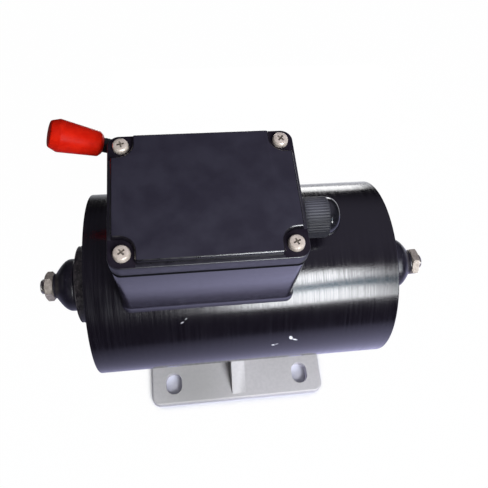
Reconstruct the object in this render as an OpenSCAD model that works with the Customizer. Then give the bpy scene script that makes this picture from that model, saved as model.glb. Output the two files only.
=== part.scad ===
// Small foot-mounted electric motor with a shaft end at each side, a terminal box on top,
// a cable gland and a hand switch lever. Millimetres, +Z up. The origin is the middle of
// the foot's underside, and the shaft runs along X.

/* [Housing tube] */
// Length of the housing tube
tube_len = 141.2; // [136:0.2:160]
// Outer diameter of the housing tube
tube_od = 90; // [88:0.5:96]
// Wall of the housing tube
tube_wall = 4; // [3.6:0.1:4.6]
// Height of the shaft axis above the floor
shaft_height = 62; // [58:0.5:75]
// Chamfer on the rims of the housing tube
tube_chamfer = 0.8; // [0.3:0.1:1.2]

/* [End covers] */
// Thickness of the end cover plates
cover_thick = 7; // [6:0.5:9]
// How far the end covers sit inside the tube ends
cover_recess = 1; // [0.4:0.2:3]
// Wall left in the tube around the end cover
rebate_wall = 3.2; // [2.6:0.1:3.4]
// Lip of the end cover behind its bearing
cover_lip = 1.6; // [1.2:0.1:2.6]
// Radius of the bearing boss and of the bearing cap
boss_r = 20.4; // [20:0.2:22]
// Thickness of the left bearing cap
left_cap_thick = 5; // [4.4:0.2:6]
// Depth of the dish round the boot in the left bearing cap
left_cap_dish = 2; // [1:0.2:2.4]
// Thickness of the right bearing cap
right_cap_thick = 5; // [2.8:0.2:6]
// Rounding of the bearing caps' outer edge
cap_round = 2.2; // [1:0.2:2.4]
// Number of ribs on an end cover
cover_ribs = 8; // [4:1:10]

/* [Bearings] */
// Radius of the bearing bore
bearing_bore_r = 5; // [4.8:0.1:5.2]
// Outer radius of the bearing
bearing_r = 15; // [14.8:0.1:15.4]
// Width of the bearing
bearing_w = 9; // [8:0.5:10]
// Radius of a ball
ball_r = 2.38; // [2.2:0.02:2.5]
// Number of balls in a bearing
ball_count = 8; // [6:1:9]
// Space beside the left bearing for its wave washer
preload_space = 1.4; // [1.2:0.1:2]

/* [Shaft and shaft ends] */
// Radius of the shaft under the rotor core
shaft_core_r = 8; // [7.5:0.25:9]
// Radius of the threaded shaft ends
stud_r = 4; // [3.5:0.1:4.4]
// Free length of the threaded ends beyond their nuts
stud_free = 2.6; // [2:0.2:8]
// Across flats of the shaft nuts
shaft_nut_af = 13; // [12:0.5:15]
// Thickness of the shaft nuts
shaft_nut_h = 4; // [3:0.5:7]
// Turn of the left shaft nut about the shaft
left_nut_turn = 51; // [0:0.5:60]
// Turn of the right shaft nut about the shaft
right_nut_turn = 18; // [0:0.5:60]

/* [Rubber boots] */
// Length of a boot from its open rim to the end of its neck
boot_len = 14.2; // [12:0.1:20]
// Largest radius of a boot
boot_r = 13.2; // [12.6:0.1:14.5]
// Radius of a boot at its open rim
boot_rim_r = 12.2; // [11.5:0.1:12.5]
// Radius of a boot's neck
boot_neck_r = 6.3; // [5.6:0.1:6.4]
// Length of a boot's neck
boot_neck_len = 2.8; // [1:0.1:3.2]
// Wall of a boot
boot_wall = 2.2; // [1.6:0.1:2.8]

/* [Stator and rotor] */
// Length of the stator core
core_len = 60; // [50:1:66]
// Bore radius of the stator core
stator_bore_r = 21; // [20:0.25:21.5]
// Number of stator slots
slot_count = 24; // [18:6:24]
// Air gap between rotor and stator
air_gap = 0.4; // [0.35:0.05:0.6]
// Number of rotor bars
bar_count = 20; // [14:2:22]
// Radius of a rotor bar
bar_r = 1.6; // [1.2:0.1:1.8]
// Axial length of the winding's end turns
end_turn_len = 10; // [7:0.5:12]

/* [Through bolts] */
// Radius of the circle of through bolts
tie_circle_r = 36.6; // [36:0.1:36.8]
// Radius of a through bolt
tie_r = 2; // [1.6:0.1:2.2]

/* [Terminal box] */
// Middle of the terminal box along the shaft
box_x = -17; // [-20:0.5:-12]
// Outer length of the box along the shaft
box_len = 73.4; // [70:0.2:80]
// Outer width of the box across the shaft
box_wid = 56.5; // [54:0.5:62]
// Height of the box rim above the crown of the tube
box_rise = 31; // [30:0.5:38]
// Wall of the box and of its curved floor
box_wall = 2.8; // [2.2:0.1:3.2]
// Corner radius of the box
box_corner = 4; // [2.2:0.2:4]
// Thickness of the rubber pad between box and tube
saddle_pad = 0.6; // [0.4:0.1:1.2]

/* [Terminal box lid] */
// How far the lid overhangs the box wall
lid_overhang = 0.4; // [0.2:0.1:1]
// Height of the lid's edge
lid_edge_h = 6.6; // [4.4:0.2:7]
// Height of the raised field on the lid
lid_field_h = 2.8; // [2.8:0.1:3.8]
// How far the raised field is set back from the lid's edge
lid_setback = 1.5; // [1.5:0.1:2.5]
// Corner radius of the lid
lid_corner = 4.8; // [4:0.2:5.4]
// Thickness of the lid's gasket
gasket_t = 0.9; // [0.6:0.1:1.5]
// Distance of the lid screws from the ends of the box
lid_screw_in_x = 5; // [4.8:0.1:6]
// Distance of the lid screws from the sides of the box
lid_screw_in_y = 5.2; // [4.3:0.1:6]
// Radius of the screw recesses in the lid's corners
lid_recess_r = 6; // [5:0.2:6.4]
// How far the recesses sit outwards of their screws along the shaft
lid_recess_out = 1.2; // [0:0.1:1.4]

/* [Cable gland] */
// Height of the gland's axis above the crown of the tube
gland_rise = 14.5; // [13:0.5:16]
// Outer radius of the gland's ribbed nut
gland_nut_r = 9; // [8.2:0.1:9]
// Length of the ribbed part of the gland nut
gland_rib_len = 10.6; // [10:0.2:16]
// Length of the domed end of the gland nut
gland_dome_len = 5.4; // [4:0.1:7]
// Number of ribs on the gland nut
gland_ribs = 44; // [24:2:48]
// Radius of the gland's thread in the box wall
gland_thread_r = 6; // [5.6:0.1:6.2]
// Radius of the cable hole in the gland's seal
cable_r = 3.2; // [2.6:0.1:3.4]

/* [Switch lever] */
// From the box's left face to the lever's axis
lever_in_x = 17; // [16.8:0.2:19]
// Height of the lever's pivot above the crown of the tube
lever_rise = 17.4; // [17:0.2:19]
// Distance of the lever's rod from the box wall
lever_offset = 5.2; // [4.8:0.1:7]
// Tilt of the lever above the horizontal at rest
lever_tilt = 24.2; // [10:0.1:30]
// Radius of the lever's rod
lever_rod_r = 3.1; // [2.6:0.1:3.4]
// Distance from the pivot to the near end of the grip
grip_start = 23.2; // [22.5:0.1:30]
// Length of the grip
grip_len = 21.4; // [18:0.2:30]
// Largest radius of the grip
grip_r = 6.8; // [6:0.1:7.2]
// Radius of the grip at its near shoulder
grip_neck_r = 5.4; // [4.8:0.1:5.8]
// Radius of the lever's hub
hub_r = 7.4; // [6.8:0.1:8]

/* [Foot] */
// Length of the foot plate along the shaft
foot_len = 99.4; // [94:0.2:120]
// Width of the foot plate across the shaft
foot_wid = 110; // [108:0.5:130]
// Thickness of the foot plate
foot_thick = 6; // [5:0.5:8]
// Corner radius of the foot plate
foot_corner = 5; // [3:0.5:8]
// Distance between the foot slots along the shaft
slot_dx = 74; // [70:0.5:80]
// Distance between the foot slots across the shaft
slot_dy = 87; // [86:0.5:92]
// Width of a foot slot
slot_w = 9; // [7:0.5:10]
// Length of a foot slot across the shaft
slot_l = 12; // [11:0.5:14]
// Thickness of the foot's cross rib
rib_t = 7.6; // [6:0.2:10]
// Length of the foot's long webs
web_len = 66; // [60:1:72]

/* [Hidden] */

// Small gap left where one piece is pressed or screwed into another
fit_gap = 0.05;
// Running gap between a shaft and its plain bore
running_gap = 0.04;
// Gap between pieces that turn past each other
turn_gap = 0.4;
// Gap left where a loose piece rests on its seat
seat_gap = 0.3;

// Places along the shaft, measured out from the middle of the tube
tube_r = tube_od / 2;
tube_in_r = tube_r - tube_wall;
rebate_r = tube_r - rebate_wall;
half_len = tube_len / 2;
cover_face = half_len - cover_recess;
cover_back = cover_face - cover_thick;
bearing_back = cover_back + cover_lip;
bearing_face = bearing_back + bearing_w;
boss_face = bearing_face + preload_space;
left_cap_face = boss_face + left_cap_thick;
right_cap_face = boss_face + right_cap_thick;
rim_gap = 0.6;
left_boot_start = left_cap_face - left_cap_dish + rim_gap;
right_boot_start = right_cap_face + rim_gap;
left_nut_start = left_boot_start + boot_len;
right_nut_start = right_boot_start + boot_len;
left_tip = left_nut_start + shaft_nut_h + stud_free;
right_tip = right_nut_start + shaft_nut_h + stud_free;
stud_chamfer = 0.5;
pilot_r = stud_r - 0.3;
left_pilot_start = left_nut_start + shaft_nut_h + seat_gap;
right_pilot_start = right_nut_start + shaft_nut_h + seat_gap;
bearing_collar_r = bearing_bore_r + 2;
collar_clear = 1.5;
neck_clamp = 1.9;
boot_web = 4.5;
boot_core_wall = 2.6;
boot_belly = 0.3;
boot_taper = 1.7;
cover_rib_w = 3.2;
cover_pocket_depth = 2.4;

// Bearings
ball_clear = 0.12;
groove_r = ball_r + ball_clear;
pitch_r = (bearing_bore_r + bearing_r) / 2;
ring_shoulder = 1.75;
cage_half_t = 0.8;
seal_hole_r = bearing_bore_r + 0.5;

// Bearing cap screws
cap_screw_r = 1.25;
cap_screw_head_r = 2.3;
cap_screw_len = 8;
cap_screw_circle_r = bearing_r + cap_screw_r + 0.65;
cap_screw_count = 3;
cap_spigot_wall = 2.3;
cap_socket_af = 1.6;
cap_socket_depth = 0.9;

// Stator, winding and rotor
slot_lip = 1.2;
slot_depth = 8.4;
slot_in_r = stator_bore_r + slot_lip;
slot_out_r = slot_in_r + slot_depth;
slot_in_w = 2.3;
slot_out_w = 4;
slot_mouth_w = 1.4;
slot_liner = 0.3;
end_turn_gap = 2;
rotor_r = stator_bore_r - air_gap;
bar_circle_r = rotor_r - bar_r - 0.8;
coil_in_r = slot_in_r + slot_liner;
coil_out_r = slot_out_r + slot_out_w / 2 - slot_liner;
coil_swell = 0.4;
coil_top_r = coil_out_r + coil_swell;
cage_ring_len = 6;
tie_clear = 0.4;
tie_head_r = 3.6;
tie_head_h = 3;
tie_count = 4;
tie_nut_af = 7;
tie_nut_h = 2.4;
tie_pocket_r = tie_nut_af / sqrt(3) + 0.3;
tie_seat = cover_face - tie_head_h - 0.4;

// Heights above the shaft axis
pad_r = tube_r + saddle_pad;
floor_r = pad_r + box_wall;
rim_z = tube_r + box_rise;
lid_z = rim_z + gasket_t;
recess_z = lid_z + lid_edge_h;
gland_z = tube_r + gland_rise;
lever_z = tube_r + lever_rise;
lid_len = box_len + 2 * lid_overhang;
lid_wid = box_wid + 2 * lid_overhang;
lid_roof = 2.6;
wall_in_x = box_len / 2 - box_wall;
wall_in_y = box_wid / 2 - box_wall;
lid_screw_dx = box_len - 2 * lid_screw_in_x;
lid_screw_dy = box_wid - 2 * lid_screw_in_y;

// Box screws, lid screws and lead hole
post_r = 4.2;
lid_screw_r = 1.9;
lid_screw_head_r = 3.5;
lid_screw_head_h = 2.5;
lid_screw_len = 18;
base_screw_in_x = 12.7;
base_screw_in_y = 10;
base_screw_dx = box_len - 2 * base_screw_in_x;
base_screw_dy = box_wid - 2 * base_screw_in_y;
base_screw_r = 1.9;
base_screw_head_r = 3.6;
base_screw_head_h = 2.3;
base_pad_r = 4.2;
base_pad_z = floor_r - 1;
base_screw_len = base_pad_z - sqrt(pow(tube_in_r, 2) - pow(base_screw_dy / 2, 2)) - 0.8;
lead_hole_r = 6.5;
lead_hole_x = -core_len / 2 - end_turn_gap - end_turn_len / 2;
grommet_lip = 1.5;
grommet_lip_t = 1;
grommet_lip_z = 1.6;
grommet_rise = 2.4;
lead_r = 1.2;
lead_pitch = 3.6;

// Terminal block
block_pitch = 5.8;
block_poles = 5;
barrier_t = 1.2;
block_len = block_poles * block_pitch + barrier_t;
block_wid = 16;
block_h = 8;
block_off_x = 4.5;
block_x = box_x + block_off_x;
block_wall_gap = 3.2;
block_y = block_wall_gap + block_wid / 2 - wall_in_y;
lead_hole_y = block_y + block_wid * 3 / 8;
block_z = floor_r + 0.6;
barrier_h = 3.6;
plate_t = 0.8;
plate_inset = 0.8;
block_pad_len = 6;
block_pad_wid = 8;
plate_w = block_pitch - barrier_t - 0.4;
terminal_screw_r = 1.3;
terminal_head_r = 2;
terminal_head_h = 1.4;
terminal_screw_len = 5;

// Gland
gland_flange_len = 4.4;
gland_flange_af = 15;
gland_nut_gap = 0.3;
gland_sleeve_len = 8;
gland_bore_r = 4.6;
dome_curve_r = gland_dome_len + 0.4;
gland_seal_lip = 1.2;
gland_seal_start = gland_flange_len + gland_sleeve_len + fit_gap;
gland_seal_len = gland_flange_len + gland_nut_gap + gland_rib_len + gland_dome_len
    - gland_seal_lip - gland_seal_start;
locknut_h = 3.4;
locknut_af = 16;

// Lever
pivot_r = 3;
bushing_r = 5;
bushing_flange_r = 7;
bushing_flange_t = 1.2;
bushing_nut_h = 2.8;
bushing_nut_af = 13;
lever_x = box_x - box_len / 2 + lever_in_x;
switch_set_back = lid_screw_in_y + post_r - box_wall + seat_gap;
switch_back = wall_in_y - switch_set_back;
switch_depth = 12;
switch_floor = 2;
switch_side = 22;
switch_rotor_r = 8;
contact_depth = 4.7;
contact_w = 3;
contact_clear = 0.2;
cam_notch_w = 5;
cam_notch_depth = 1.5;
pivot_proud = 0.8;
switch_lead_x = switch_side / 2 + lead_r + seat_gap;
hub_len = 2 * (lever_offset - bushing_flange_t - turn_gap);
grip_end_r = grip_r - 1.3;
grip_wall_end = 3;
set_screw_r = 1.5;
rod_thread_r = lever_rod_r - 0.9;

// Foot
foot_edge = 1.2;
foot_screw_dx = 48;
foot_screw_dy = 24;
foot_screw_r = 2.5;
foot_screw_head_r = 4.2;
foot_screw_head_h = 4.6;
foot_head_clear = 0.4;
foot_boss_r = 6;
web_t = 6;
rib_foot_inset = 2.5;
rib_top_y = 27;

$fn = 48;

// ---- helpers ----

// Put children on the shaft axis
module on_axis() {
    translate([0, 0, shaft_height])
        children();
}

// Turn children so that their +Z runs along +X
module along_x(x = 0) {
    translate([x, 0, 0])
        rotate([0, 90, 0])
            children();
}

// Put children on the shaft axis at one end, with their +Z pointing out of that end
module at_end(side, x = 0) {
    on_axis()
        mirror([side < 0 ? 1 : 0, 0, 0])
            along_x(x)
                children();
}

// Turn children so that their +Z runs along +Y
module along_y(y = 0) {
    translate([0, y, 0])
        rotate([-90, 0, 0])
            children();
}

// Place children at the four corners of a rectangle
module four_corners(dx, dy) {
    for (sx = [-1, 1], sy = [-1, 1])
        translate([sx * dx / 2, sy * dy / 2, 0])
            children();
}

// Place children evenly around the Z axis
module around(count, radius, start = 0) {
    for (i = [0 : count - 1])
        rotate([0, 0, start + i * 360 / count])
            translate([radius, 0, 0])
                children();
}

// Ring with a rectangular section
module ring(outer_r, inner_r, height) {
    difference() {
        cylinder(r = outer_r, h = height);
        translate([0, 0, -1])
            cylinder(r = inner_r, h = height + 2);
    }
}

// Hexagonal prism given by its size across flats
module hex_prism(across_flats, height) {
    cylinder(r = across_flats / sqrt(3), h = height, $fn = 6);
}

// Hexagonal nut with its corners rounded off at both faces
module hex_nut(across_flats, height, hole_r) {
    corner_r = across_flats / sqrt(3);
    bevel = (corner_r - across_flats / 2) * 0.62 + 0.2;
    difference() {
        intersection() {
            hex_prism(across_flats, height);
            rotate_extrude()
                polygon([
                    [0, 0], [across_flats / 2 - 0.2, 0], [corner_r + 0.1, bevel],
                    [corner_r + 0.1, height - bevel], [across_flats / 2 - 0.2, height], [0, height]
                ]);
        }
        translate([0, 0, -1])
            cylinder(r = hole_r, h = height + 2);
    }
}

// Flat section with rounded top corners
module top_rounded(width, height, edge) {
    translate([-width / 2, 0])
        square([width, height - edge]);
    translate([-width / 2 + edge, 0])
        square([width - 2 * edge, height]);
    for (s = [-1, 1])
        translate([s * (width / 2 - edge), height - edge])
            circle(r = edge);
}

// Block with rounded upright corners and a rounded top edge, standing on Z = 0
module rounded_block(len_x, len_y, height, corner, edge) {
    rotate([90, 0, 0])
        linear_extrude(len_y - 2 * corner, center = true)
            top_rounded(len_x, height, edge);
    rotate([90, 0, 90])
        linear_extrude(len_x - 2 * corner, center = true)
            top_rounded(len_y, height, edge);
    four_corners(len_x - 2 * corner, len_y - 2 * corner)
        rotate_extrude()
            intersection() {
                top_rounded(2 * corner, height, edge);
                square([corner, height]);
            }
}

// Flat outline of a rectangle with rounded corners
module rounded_rectangle(len_x, len_y, corner) {
    square([len_x - 2 * corner, len_y], center = true);
    square([len_x, len_y - 2 * corner], center = true);
    four_corners(len_x - 2 * corner, len_y - 2 * corner)
        circle(r = corner);
}

// Pan head screw with a cross recess: the head stands on Z = 0 and the shank hangs below it
module pan_screw(head_r, head_h, shank_r, shank_len) {
    edge = head_h * 0.55;
    cross_w = head_r * 0.24;
    difference() {
        rotate_extrude()
            intersection() {
                top_rounded(2 * head_r, head_h, edge);
                square([head_r, head_h]);
            }
        for (a = [0, 90])
            rotate([0, 0, a])
                translate([-head_r / 2, -cross_w / 2, head_h * 0.45])
                    cube([head_r, cross_w, head_h]);
    }
    translate([0, 0, -shank_len])
        cylinder(r = shank_r, h = shank_len + 0.01);
}

// Cap screw with a hexagonal socket: the head stands on Z = 0 and the shank hangs below it
module socket_screw(head_r, head_h, shank_r, shank_len) {
    difference() {
        cylinder(r = head_r, h = head_h);
        translate([0, 0, head_h * 0.4])
            hex_prism(shank_r * 1.6, head_h);
    }
    translate([0, 0, -shank_len])
        cylinder(r = shank_r, h = shank_len + 0.01);
}

// Round wire through a list of points
module wire(points, radius) {
    for (i = [0 : len(points) - 2]) {
        step = points[i + 1] - points[i];
        length = norm(step);
        turn = atan2(step[1], step[0]);
        lean = acos(step[2] / length);
        translate(points[i])
            rotate([0, lean, turn])
                cylinder(r = radius, h = length);
        if (i > 0)
            translate(points[i])
                sphere(r = radius);
    }
}

// ---- housing ----

module housing_tube() {
    color([0.07, 0.07, 0.08])
        difference() {
            on_axis()
                along_x(-half_len)
                    rotate_extrude($fn = 96)
                        polygon([
                            [tube_in_r, tube_len / 2], [tube_in_r, half_len - cover_back],
                            [rebate_r, half_len - cover_back], [rebate_r, 0],
                            [tube_r - tube_chamfer, 0], [tube_r, tube_chamfer],
                            [tube_r, tube_len - tube_chamfer], [tube_r - tube_chamfer, tube_len],
                            [rebate_r, tube_len], [rebate_r, half_len + cover_back],
                            [tube_in_r, half_len + cover_back]
                        ]);
            translate([lead_hole_x, lead_hole_y, shaft_height])
                cylinder(r = lead_hole_r, h = tube_od);
            translate([box_x, 0, shaft_height])
                four_corners(base_screw_dx, base_screw_dy)
                    cylinder(r = base_screw_r + fit_gap, h = tube_od);
            four_corners(foot_screw_dx, foot_screw_dy)
                cylinder(r = foot_screw_r + fit_gap, h = shaft_height);
        }
}

// End cover with its bearing seat, seen from the tube outwards along +Z
module end_cover_form() {
    plate_r = rebate_r - fit_gap;
    difference() {
        union() {
            cylinder(r = plate_r, h = cover_thick, $fn = 96);
            cylinder(r = boss_r, h = boss_face - cover_back);
        }
        translate([0, 0, cover_lip])
            cylinder(r = bearing_r + fit_gap, h = boss_face);
        translate([0, 0, -1])
            cylinder(r = bearing_collar_r + collar_clear, h = cover_thick);
        around(tie_count, tie_circle_r, 45)
            translate([0, 0, -1])
                cylinder(r = tie_r + fit_gap, h = cover_thick + 2);
        around(tie_count, tie_circle_r, 45)
            translate([0, 0, tie_seat - cover_back])
                cylinder(r = tie_pocket_r, h = cover_thick);
        around(cap_screw_count, cap_screw_circle_r, 90)
            translate([0, 0, boss_face - cover_back - cap_screw_len])
                cylinder(r = cap_screw_r + fit_gap, h = boss_face);
        translate([0, 0, cover_thick - cover_pocket_depth])
            cover_pockets();
    }
}

// Pockets between the ribs of an end cover
module cover_pockets() {
    difference() {
        ring(tie_circle_r - tie_pocket_r - 0.8, boss_r + 1.6, cover_thick);
        around(cover_ribs, 0)
            translate([0, -cover_rib_w / 2, -1])
                cube([rebate_r, cover_rib_w, cover_thick + 2]);
    }
}

module left_end_cover() {
    color([0.09, 0.09, 0.1])
        at_end(-1, cover_back)
            end_cover_form();
}

module right_end_cover() {
    color([0.09, 0.09, 0.1])
        at_end(1, cover_back)
            end_cover_form();
}

// Bearing cap with countersunk screw holes, a spigot of the given height and a dish of the given depth
module bearing_cap_form(thick, spigot, dish) {
    difference() {
        union() {
            rotate_extrude()
                intersection() {
                    top_rounded(2 * boss_r, thick, cap_round);
                    square([boss_r, thick]);
                }
            if (spigot > 0)
                translate([0, 0, -spigot])
                    ring(bearing_r - 0.1, bearing_r - 0.1 - cap_spigot_wall, spigot + 0.5);
        }
        translate([0, 0, -1])
            cylinder(r = seal_hole_r, h = thick + 2);
        if (dish > 0)
            translate([0, 0, thick - dish])
                cylinder(r = boot_r, h = dish + 1);
        around(cap_screw_count, cap_screw_circle_r, 90)
            cap_screw_cut(thick);
    }
}

// Room for a countersunk screw in a bearing cap
module cap_screw_cut(thick) {
    translate([0, 0, -1])
        cylinder(r = cap_screw_r + 0.2, h = thick + 2);
    translate([0, 0, thick - cap_screw_head_r + cap_screw_r - 0.3])
        cylinder(r1 = cap_screw_r + 0.2, r2 = cap_screw_head_r + 0.5, h = cap_screw_head_r - cap_screw_r + 0.3);
}

// Countersunk screws of one bearing cap, driven down from its face at Z = 0
module cap_screws_form(thick) {
    around(cap_screw_count, cap_screw_circle_r, 90)
        difference() {
            union() {
                translate([0, 0, -cap_screw_head_r + cap_screw_r - 0.2])
                    cylinder(r1 = cap_screw_r, r2 = cap_screw_head_r, h = cap_screw_head_r - cap_screw_r);
                translate([0, 0, -thick - cap_screw_len + 1])
                    cylinder(r = cap_screw_r, h = thick + cap_screw_len - 1.5);
            }
            translate([0, 0, -cap_socket_depth])
                hex_prism(cap_socket_af, 2 * cap_socket_depth);
        }
}

module left_bearing_cap() {
    color([0.1, 0.1, 0.11])
        at_end(-1, boss_face)
            bearing_cap_form(left_cap_thick, 0, left_cap_dish);
}

module right_bearing_cap() {
    color([0.1, 0.1, 0.11])
        at_end(1, boss_face)
            bearing_cap_form(right_cap_thick, preload_space, 0);
}

module left_cap_screws() {
    color([0.55, 0.55, 0.55])
        at_end(-1, left_cap_face)
            cap_screws_form(left_cap_thick);
}

module right_cap_screws() {
    color([0.55, 0.55, 0.55])
        at_end(1, right_cap_face)
            cap_screws_form(right_cap_thick);
}

module through_bolts() {
    color([0.6, 0.6, 0.6])
        at_end(-1, tie_seat)
            around(tie_count, tie_circle_r, 45)
                socket_screw(tie_head_r, tie_head_h, tie_r, 2 * tie_seat + tie_head_h);
}

module through_bolt_nuts() {
    color([0.6, 0.6, 0.6])
        at_end(1, tie_seat)
            around(tie_count, tie_circle_r, 45)
                hex_nut(tie_nut_af, tie_nut_h, tie_r + fit_gap);
}

// ---- bearings ----

module outer_ring_form() {
    rotate_extrude()
        difference() {
            translate([pitch_r + ring_shoulder, 0])
                square([bearing_r - pitch_r - ring_shoulder, bearing_w]);
            translate([pitch_r, bearing_w / 2])
                circle(r = groove_r);
        }
}

module inner_ring_form() {
    rotate_extrude()
        difference() {
            translate([bearing_bore_r + 0.02, 0])
                square([pitch_r - ring_shoulder - bearing_bore_r - 0.02, bearing_w]);
            translate([pitch_r, bearing_w / 2])
                circle(r = groove_r);
        }
}

module balls_form() {
    around(ball_count, pitch_r)
        translate([0, 0, bearing_w / 2])
            sphere(r = ball_r);
}

module ball_cage_form() {
    difference() {
        translate([0, 0, 1])
            ring(pitch_r + cage_half_t, pitch_r - cage_half_t, bearing_w - 2);
        around(ball_count, pitch_r - 3)
            translate([0, 0, bearing_w / 2])
                rotate([0, 90, 0])
                    cylinder(r = ball_r + ball_clear, h = 6);
    }
}

module left_outer_ring() {
    color([0.7, 0.71, 0.73])
        at_end(-1, bearing_back)
            outer_ring_form();
}

module right_outer_ring() {
    color([0.7, 0.71, 0.73])
        at_end(1, bearing_back)
            outer_ring_form();
}

module left_inner_ring() {
    color([0.7, 0.71, 0.73])
        at_end(-1, bearing_back)
            inner_ring_form();
}

module right_inner_ring() {
    color([0.7, 0.71, 0.73])
        at_end(1, bearing_back)
            inner_ring_form();
}

module left_balls() {
    color([0.8, 0.8, 0.82])
        at_end(-1, bearing_back)
            balls_form();
}

module right_balls() {
    color([0.8, 0.8, 0.82])
        at_end(1, bearing_back)
            balls_form();
}

module left_ball_cage() {
    color([0.55, 0.4, 0.2])
        at_end(-1, bearing_back)
            ball_cage_form();
}

module right_ball_cage() {
    color([0.55, 0.4, 0.2])
        at_end(1, bearing_back)
            ball_cage_form();
}

// Height of the wave washer's underside at an angle, as a three-wave ripple
function wave_lift(angle, rise) = rise * (1 + cos(3 * angle)) / 2;

// Washer bent into three waves, which presses the left bearing towards the right one
module wave_washer() {
    steps = 48;
    sheet = 0.5;
    rise = preload_space - sheet - 0.1;
    inner = bearing_r - 3;
    outer = bearing_r - 0.4;
    points = [
        for (i = [0 : steps - 1])
            let (a = i * 360 / steps, low = wave_lift(a, rise))
                for (corner = [[inner, low], [outer, low], [outer, low + sheet], [inner, low + sheet]])
                    [corner[0] * cos(a), corner[0] * sin(a), corner[1]]
    ];
    faces = [
        for (i = [0 : steps - 1], k = [0 : 3])
            let (j = (i + 1) % steps, m = (k + 1) % 4)
                [4 * i + k, 4 * i + m, 4 * j + m, 4 * j + k]
    ];
    color([0.65, 0.65, 0.66])
        at_end(-1, bearing_face + 0.05)
            polyhedron(points, faces, convexity = 4);
}

// ---- stator ----

// Outline of one stator slot on +X, made narrower all round by the given inset
module slot_outline(inset = 0) {
    polygon([
        [slot_in_r + inset, -slot_in_w / 2 + inset], [slot_out_r, -slot_out_w / 2 + inset],
        [slot_out_r, slot_out_w / 2 - inset], [slot_in_r + inset, slot_in_w / 2 - inset]
    ]);
    translate([slot_out_r, 0])
        circle(r = slot_out_w / 2 - inset, $fn = 24);
}

module stator_core() {
    color([0.42, 0.43, 0.46])
        at_end(1, -core_len / 2)
            linear_extrude(core_len)
                difference() {
                    circle(r = tube_in_r - fit_gap, $fn = 96);
                    circle(r = stator_bore_r, $fn = 96);
                    for (i = [0 : slot_count - 1])
                        rotate(i * 360 / slot_count + 180 / slot_count)
                            stator_slot();
                    around(tie_count, tie_circle_r, 45)
                        tie_notch();
                }
}

// Slot with its narrow mouth at the bore
module stator_slot() {
    slot_outline();
    translate([stator_bore_r - 1, -slot_mouth_w / 2])
        square([slot_lip + 1.5, slot_mouth_w]);
}

// Open notch in the rim of the core for a through bolt
module tie_notch() {
    circle(r = tie_r + tie_clear, $fn = 24);
    translate([0, -tie_r - tie_clear])
        square([tube_r, 2 * (tie_r + tie_clear)]);
}

module stator_winding() {
    turn_start = core_len / 2 + end_turn_gap;
    color([0.72, 0.36, 0.16]) {
        at_end(1, -turn_start - 1)
            linear_extrude(2 * turn_start + 2)
                for (i = [0 : slot_count - 1])
                    rotate(i * 360 / slot_count + 180 / slot_count)
                        slot_outline(slot_liner);
        for (side = [-1, 1])
            at_end(side, turn_start)
                rotate_extrude($fn = 96)
                    translate([(coil_in_r + coil_out_r) / 2, end_turn_len / 2])
                        rounded_rectangle(coil_out_r - coil_in_r + 2 * coil_swell, end_turn_len, 3);
    }
}

// Leads that rise from the end turns to the terminal block
module motor_leads() {
    start_z = shaft_height + sqrt(pow(coil_top_r, 2) - pow(abs(lead_hole_y) - lead_r, 2)) + seat_gap;
    turn_z = shaft_height + block_z + block_h / 2;
    step_z = 2 * lead_r + seat_gap;
    color([0.75, 0.15, 0.1])
        for (i = [0 : 2])
            wire([
                [lead_hole_x + (i - 1) * lead_pitch, lead_hole_y, start_z],
                [lead_hole_x + (i - 1) * lead_pitch, lead_hole_y, turn_z + (1 - i) * step_z],
                [block_x - block_len / 2 - seat_gap, lead_hole_y, turn_z + (1 - i) * step_z]
            ], lead_r);
}

module lead_grommet() {
    hole_z = shaft_height + sqrt(pow(tube_r, 2) - pow(lead_hole_y, 2));
    color([0.12, 0.12, 0.12])
        translate([lead_hole_x, lead_hole_y, hole_z])
            difference() {
                union() {
                    translate([0, 0, -tube_wall])
                        cylinder(r = lead_hole_r - fit_gap, h = tube_wall + grommet_rise);
                    translate([0, 0, grommet_lip_z])
                        cylinder(r = lead_hole_r + grommet_lip, h = grommet_lip_t);
                }
                for (i = [-1 : 1])
                    translate([i * lead_pitch, 0, -tube_wall - 1])
                        cylinder(r = lead_r + 0.1, h = tube_wall + grommet_rise + 2);
            }
}

// ---- foot ----

module foot_bracket() {
    color([0.72, 0.73, 0.74])
        difference() {
            union() {
                rounded_block(foot_len, foot_wid, foot_thick, foot_corner, foot_edge);
                for (side = [-1, 1])
                    translate([-web_len / 2, side * foot_screw_dy / 2 - web_t / 2, foot_thick - 1])
                        cube([web_len, web_t, shaft_height - foot_thick - tube_in_r]);
                four_corners(foot_screw_dx, foot_screw_dy)
                    cylinder(r = foot_boss_r, h = shaft_height - tube_in_r);
                rotate([90, 0, 90])
                    linear_extrude(rib_t, center = true)
                        rib_outline();
            }
            on_axis()
                along_x(-foot_len)
                    cylinder(r = tube_r + fit_gap, h = 2 * foot_len, $fn = 96);
            four_corners(slot_dx, slot_dy)
                foot_slot();
            four_corners(foot_screw_dx, foot_screw_dy) {
                translate([0, 0, -1])
                    cylinder(r = foot_screw_head_r + foot_head_clear, h = foot_screw_head_h + 1.6);
                cylinder(r = foot_screw_r + 0.3, h = shaft_height);
            }
        }
}

// Outline of the cross rib, which climbs from the plate's edges to the tube
module rib_outline() {
    rib_foot_y = foot_wid / 2 - rib_foot_inset;
    rib_top_z = shaft_height - sqrt(pow(tube_r, 2) - pow(rib_top_y, 2));
    polygon([
        [-rib_foot_y, foot_thick - 1], [rib_foot_y, foot_thick - 1], [rib_foot_y, foot_thick],
        [rib_top_y, rib_top_z], [-rib_top_y, rib_top_z], [-rib_foot_y, foot_thick]
    ]);
}

// Slot through the foot plate that runs across the shaft
module foot_slot() {
    translate([0, 0, -1]) {
        for (s = [-1, 1])
            translate([0, s * (slot_l - slot_w) / 2, 0])
                cylinder(r = slot_w / 2, h = foot_thick + 2);
        translate([-slot_w / 2, -(slot_l - slot_w) / 2, 0])
            cube([slot_w, slot_l - slot_w, foot_thick + 2]);
    }
}

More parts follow.
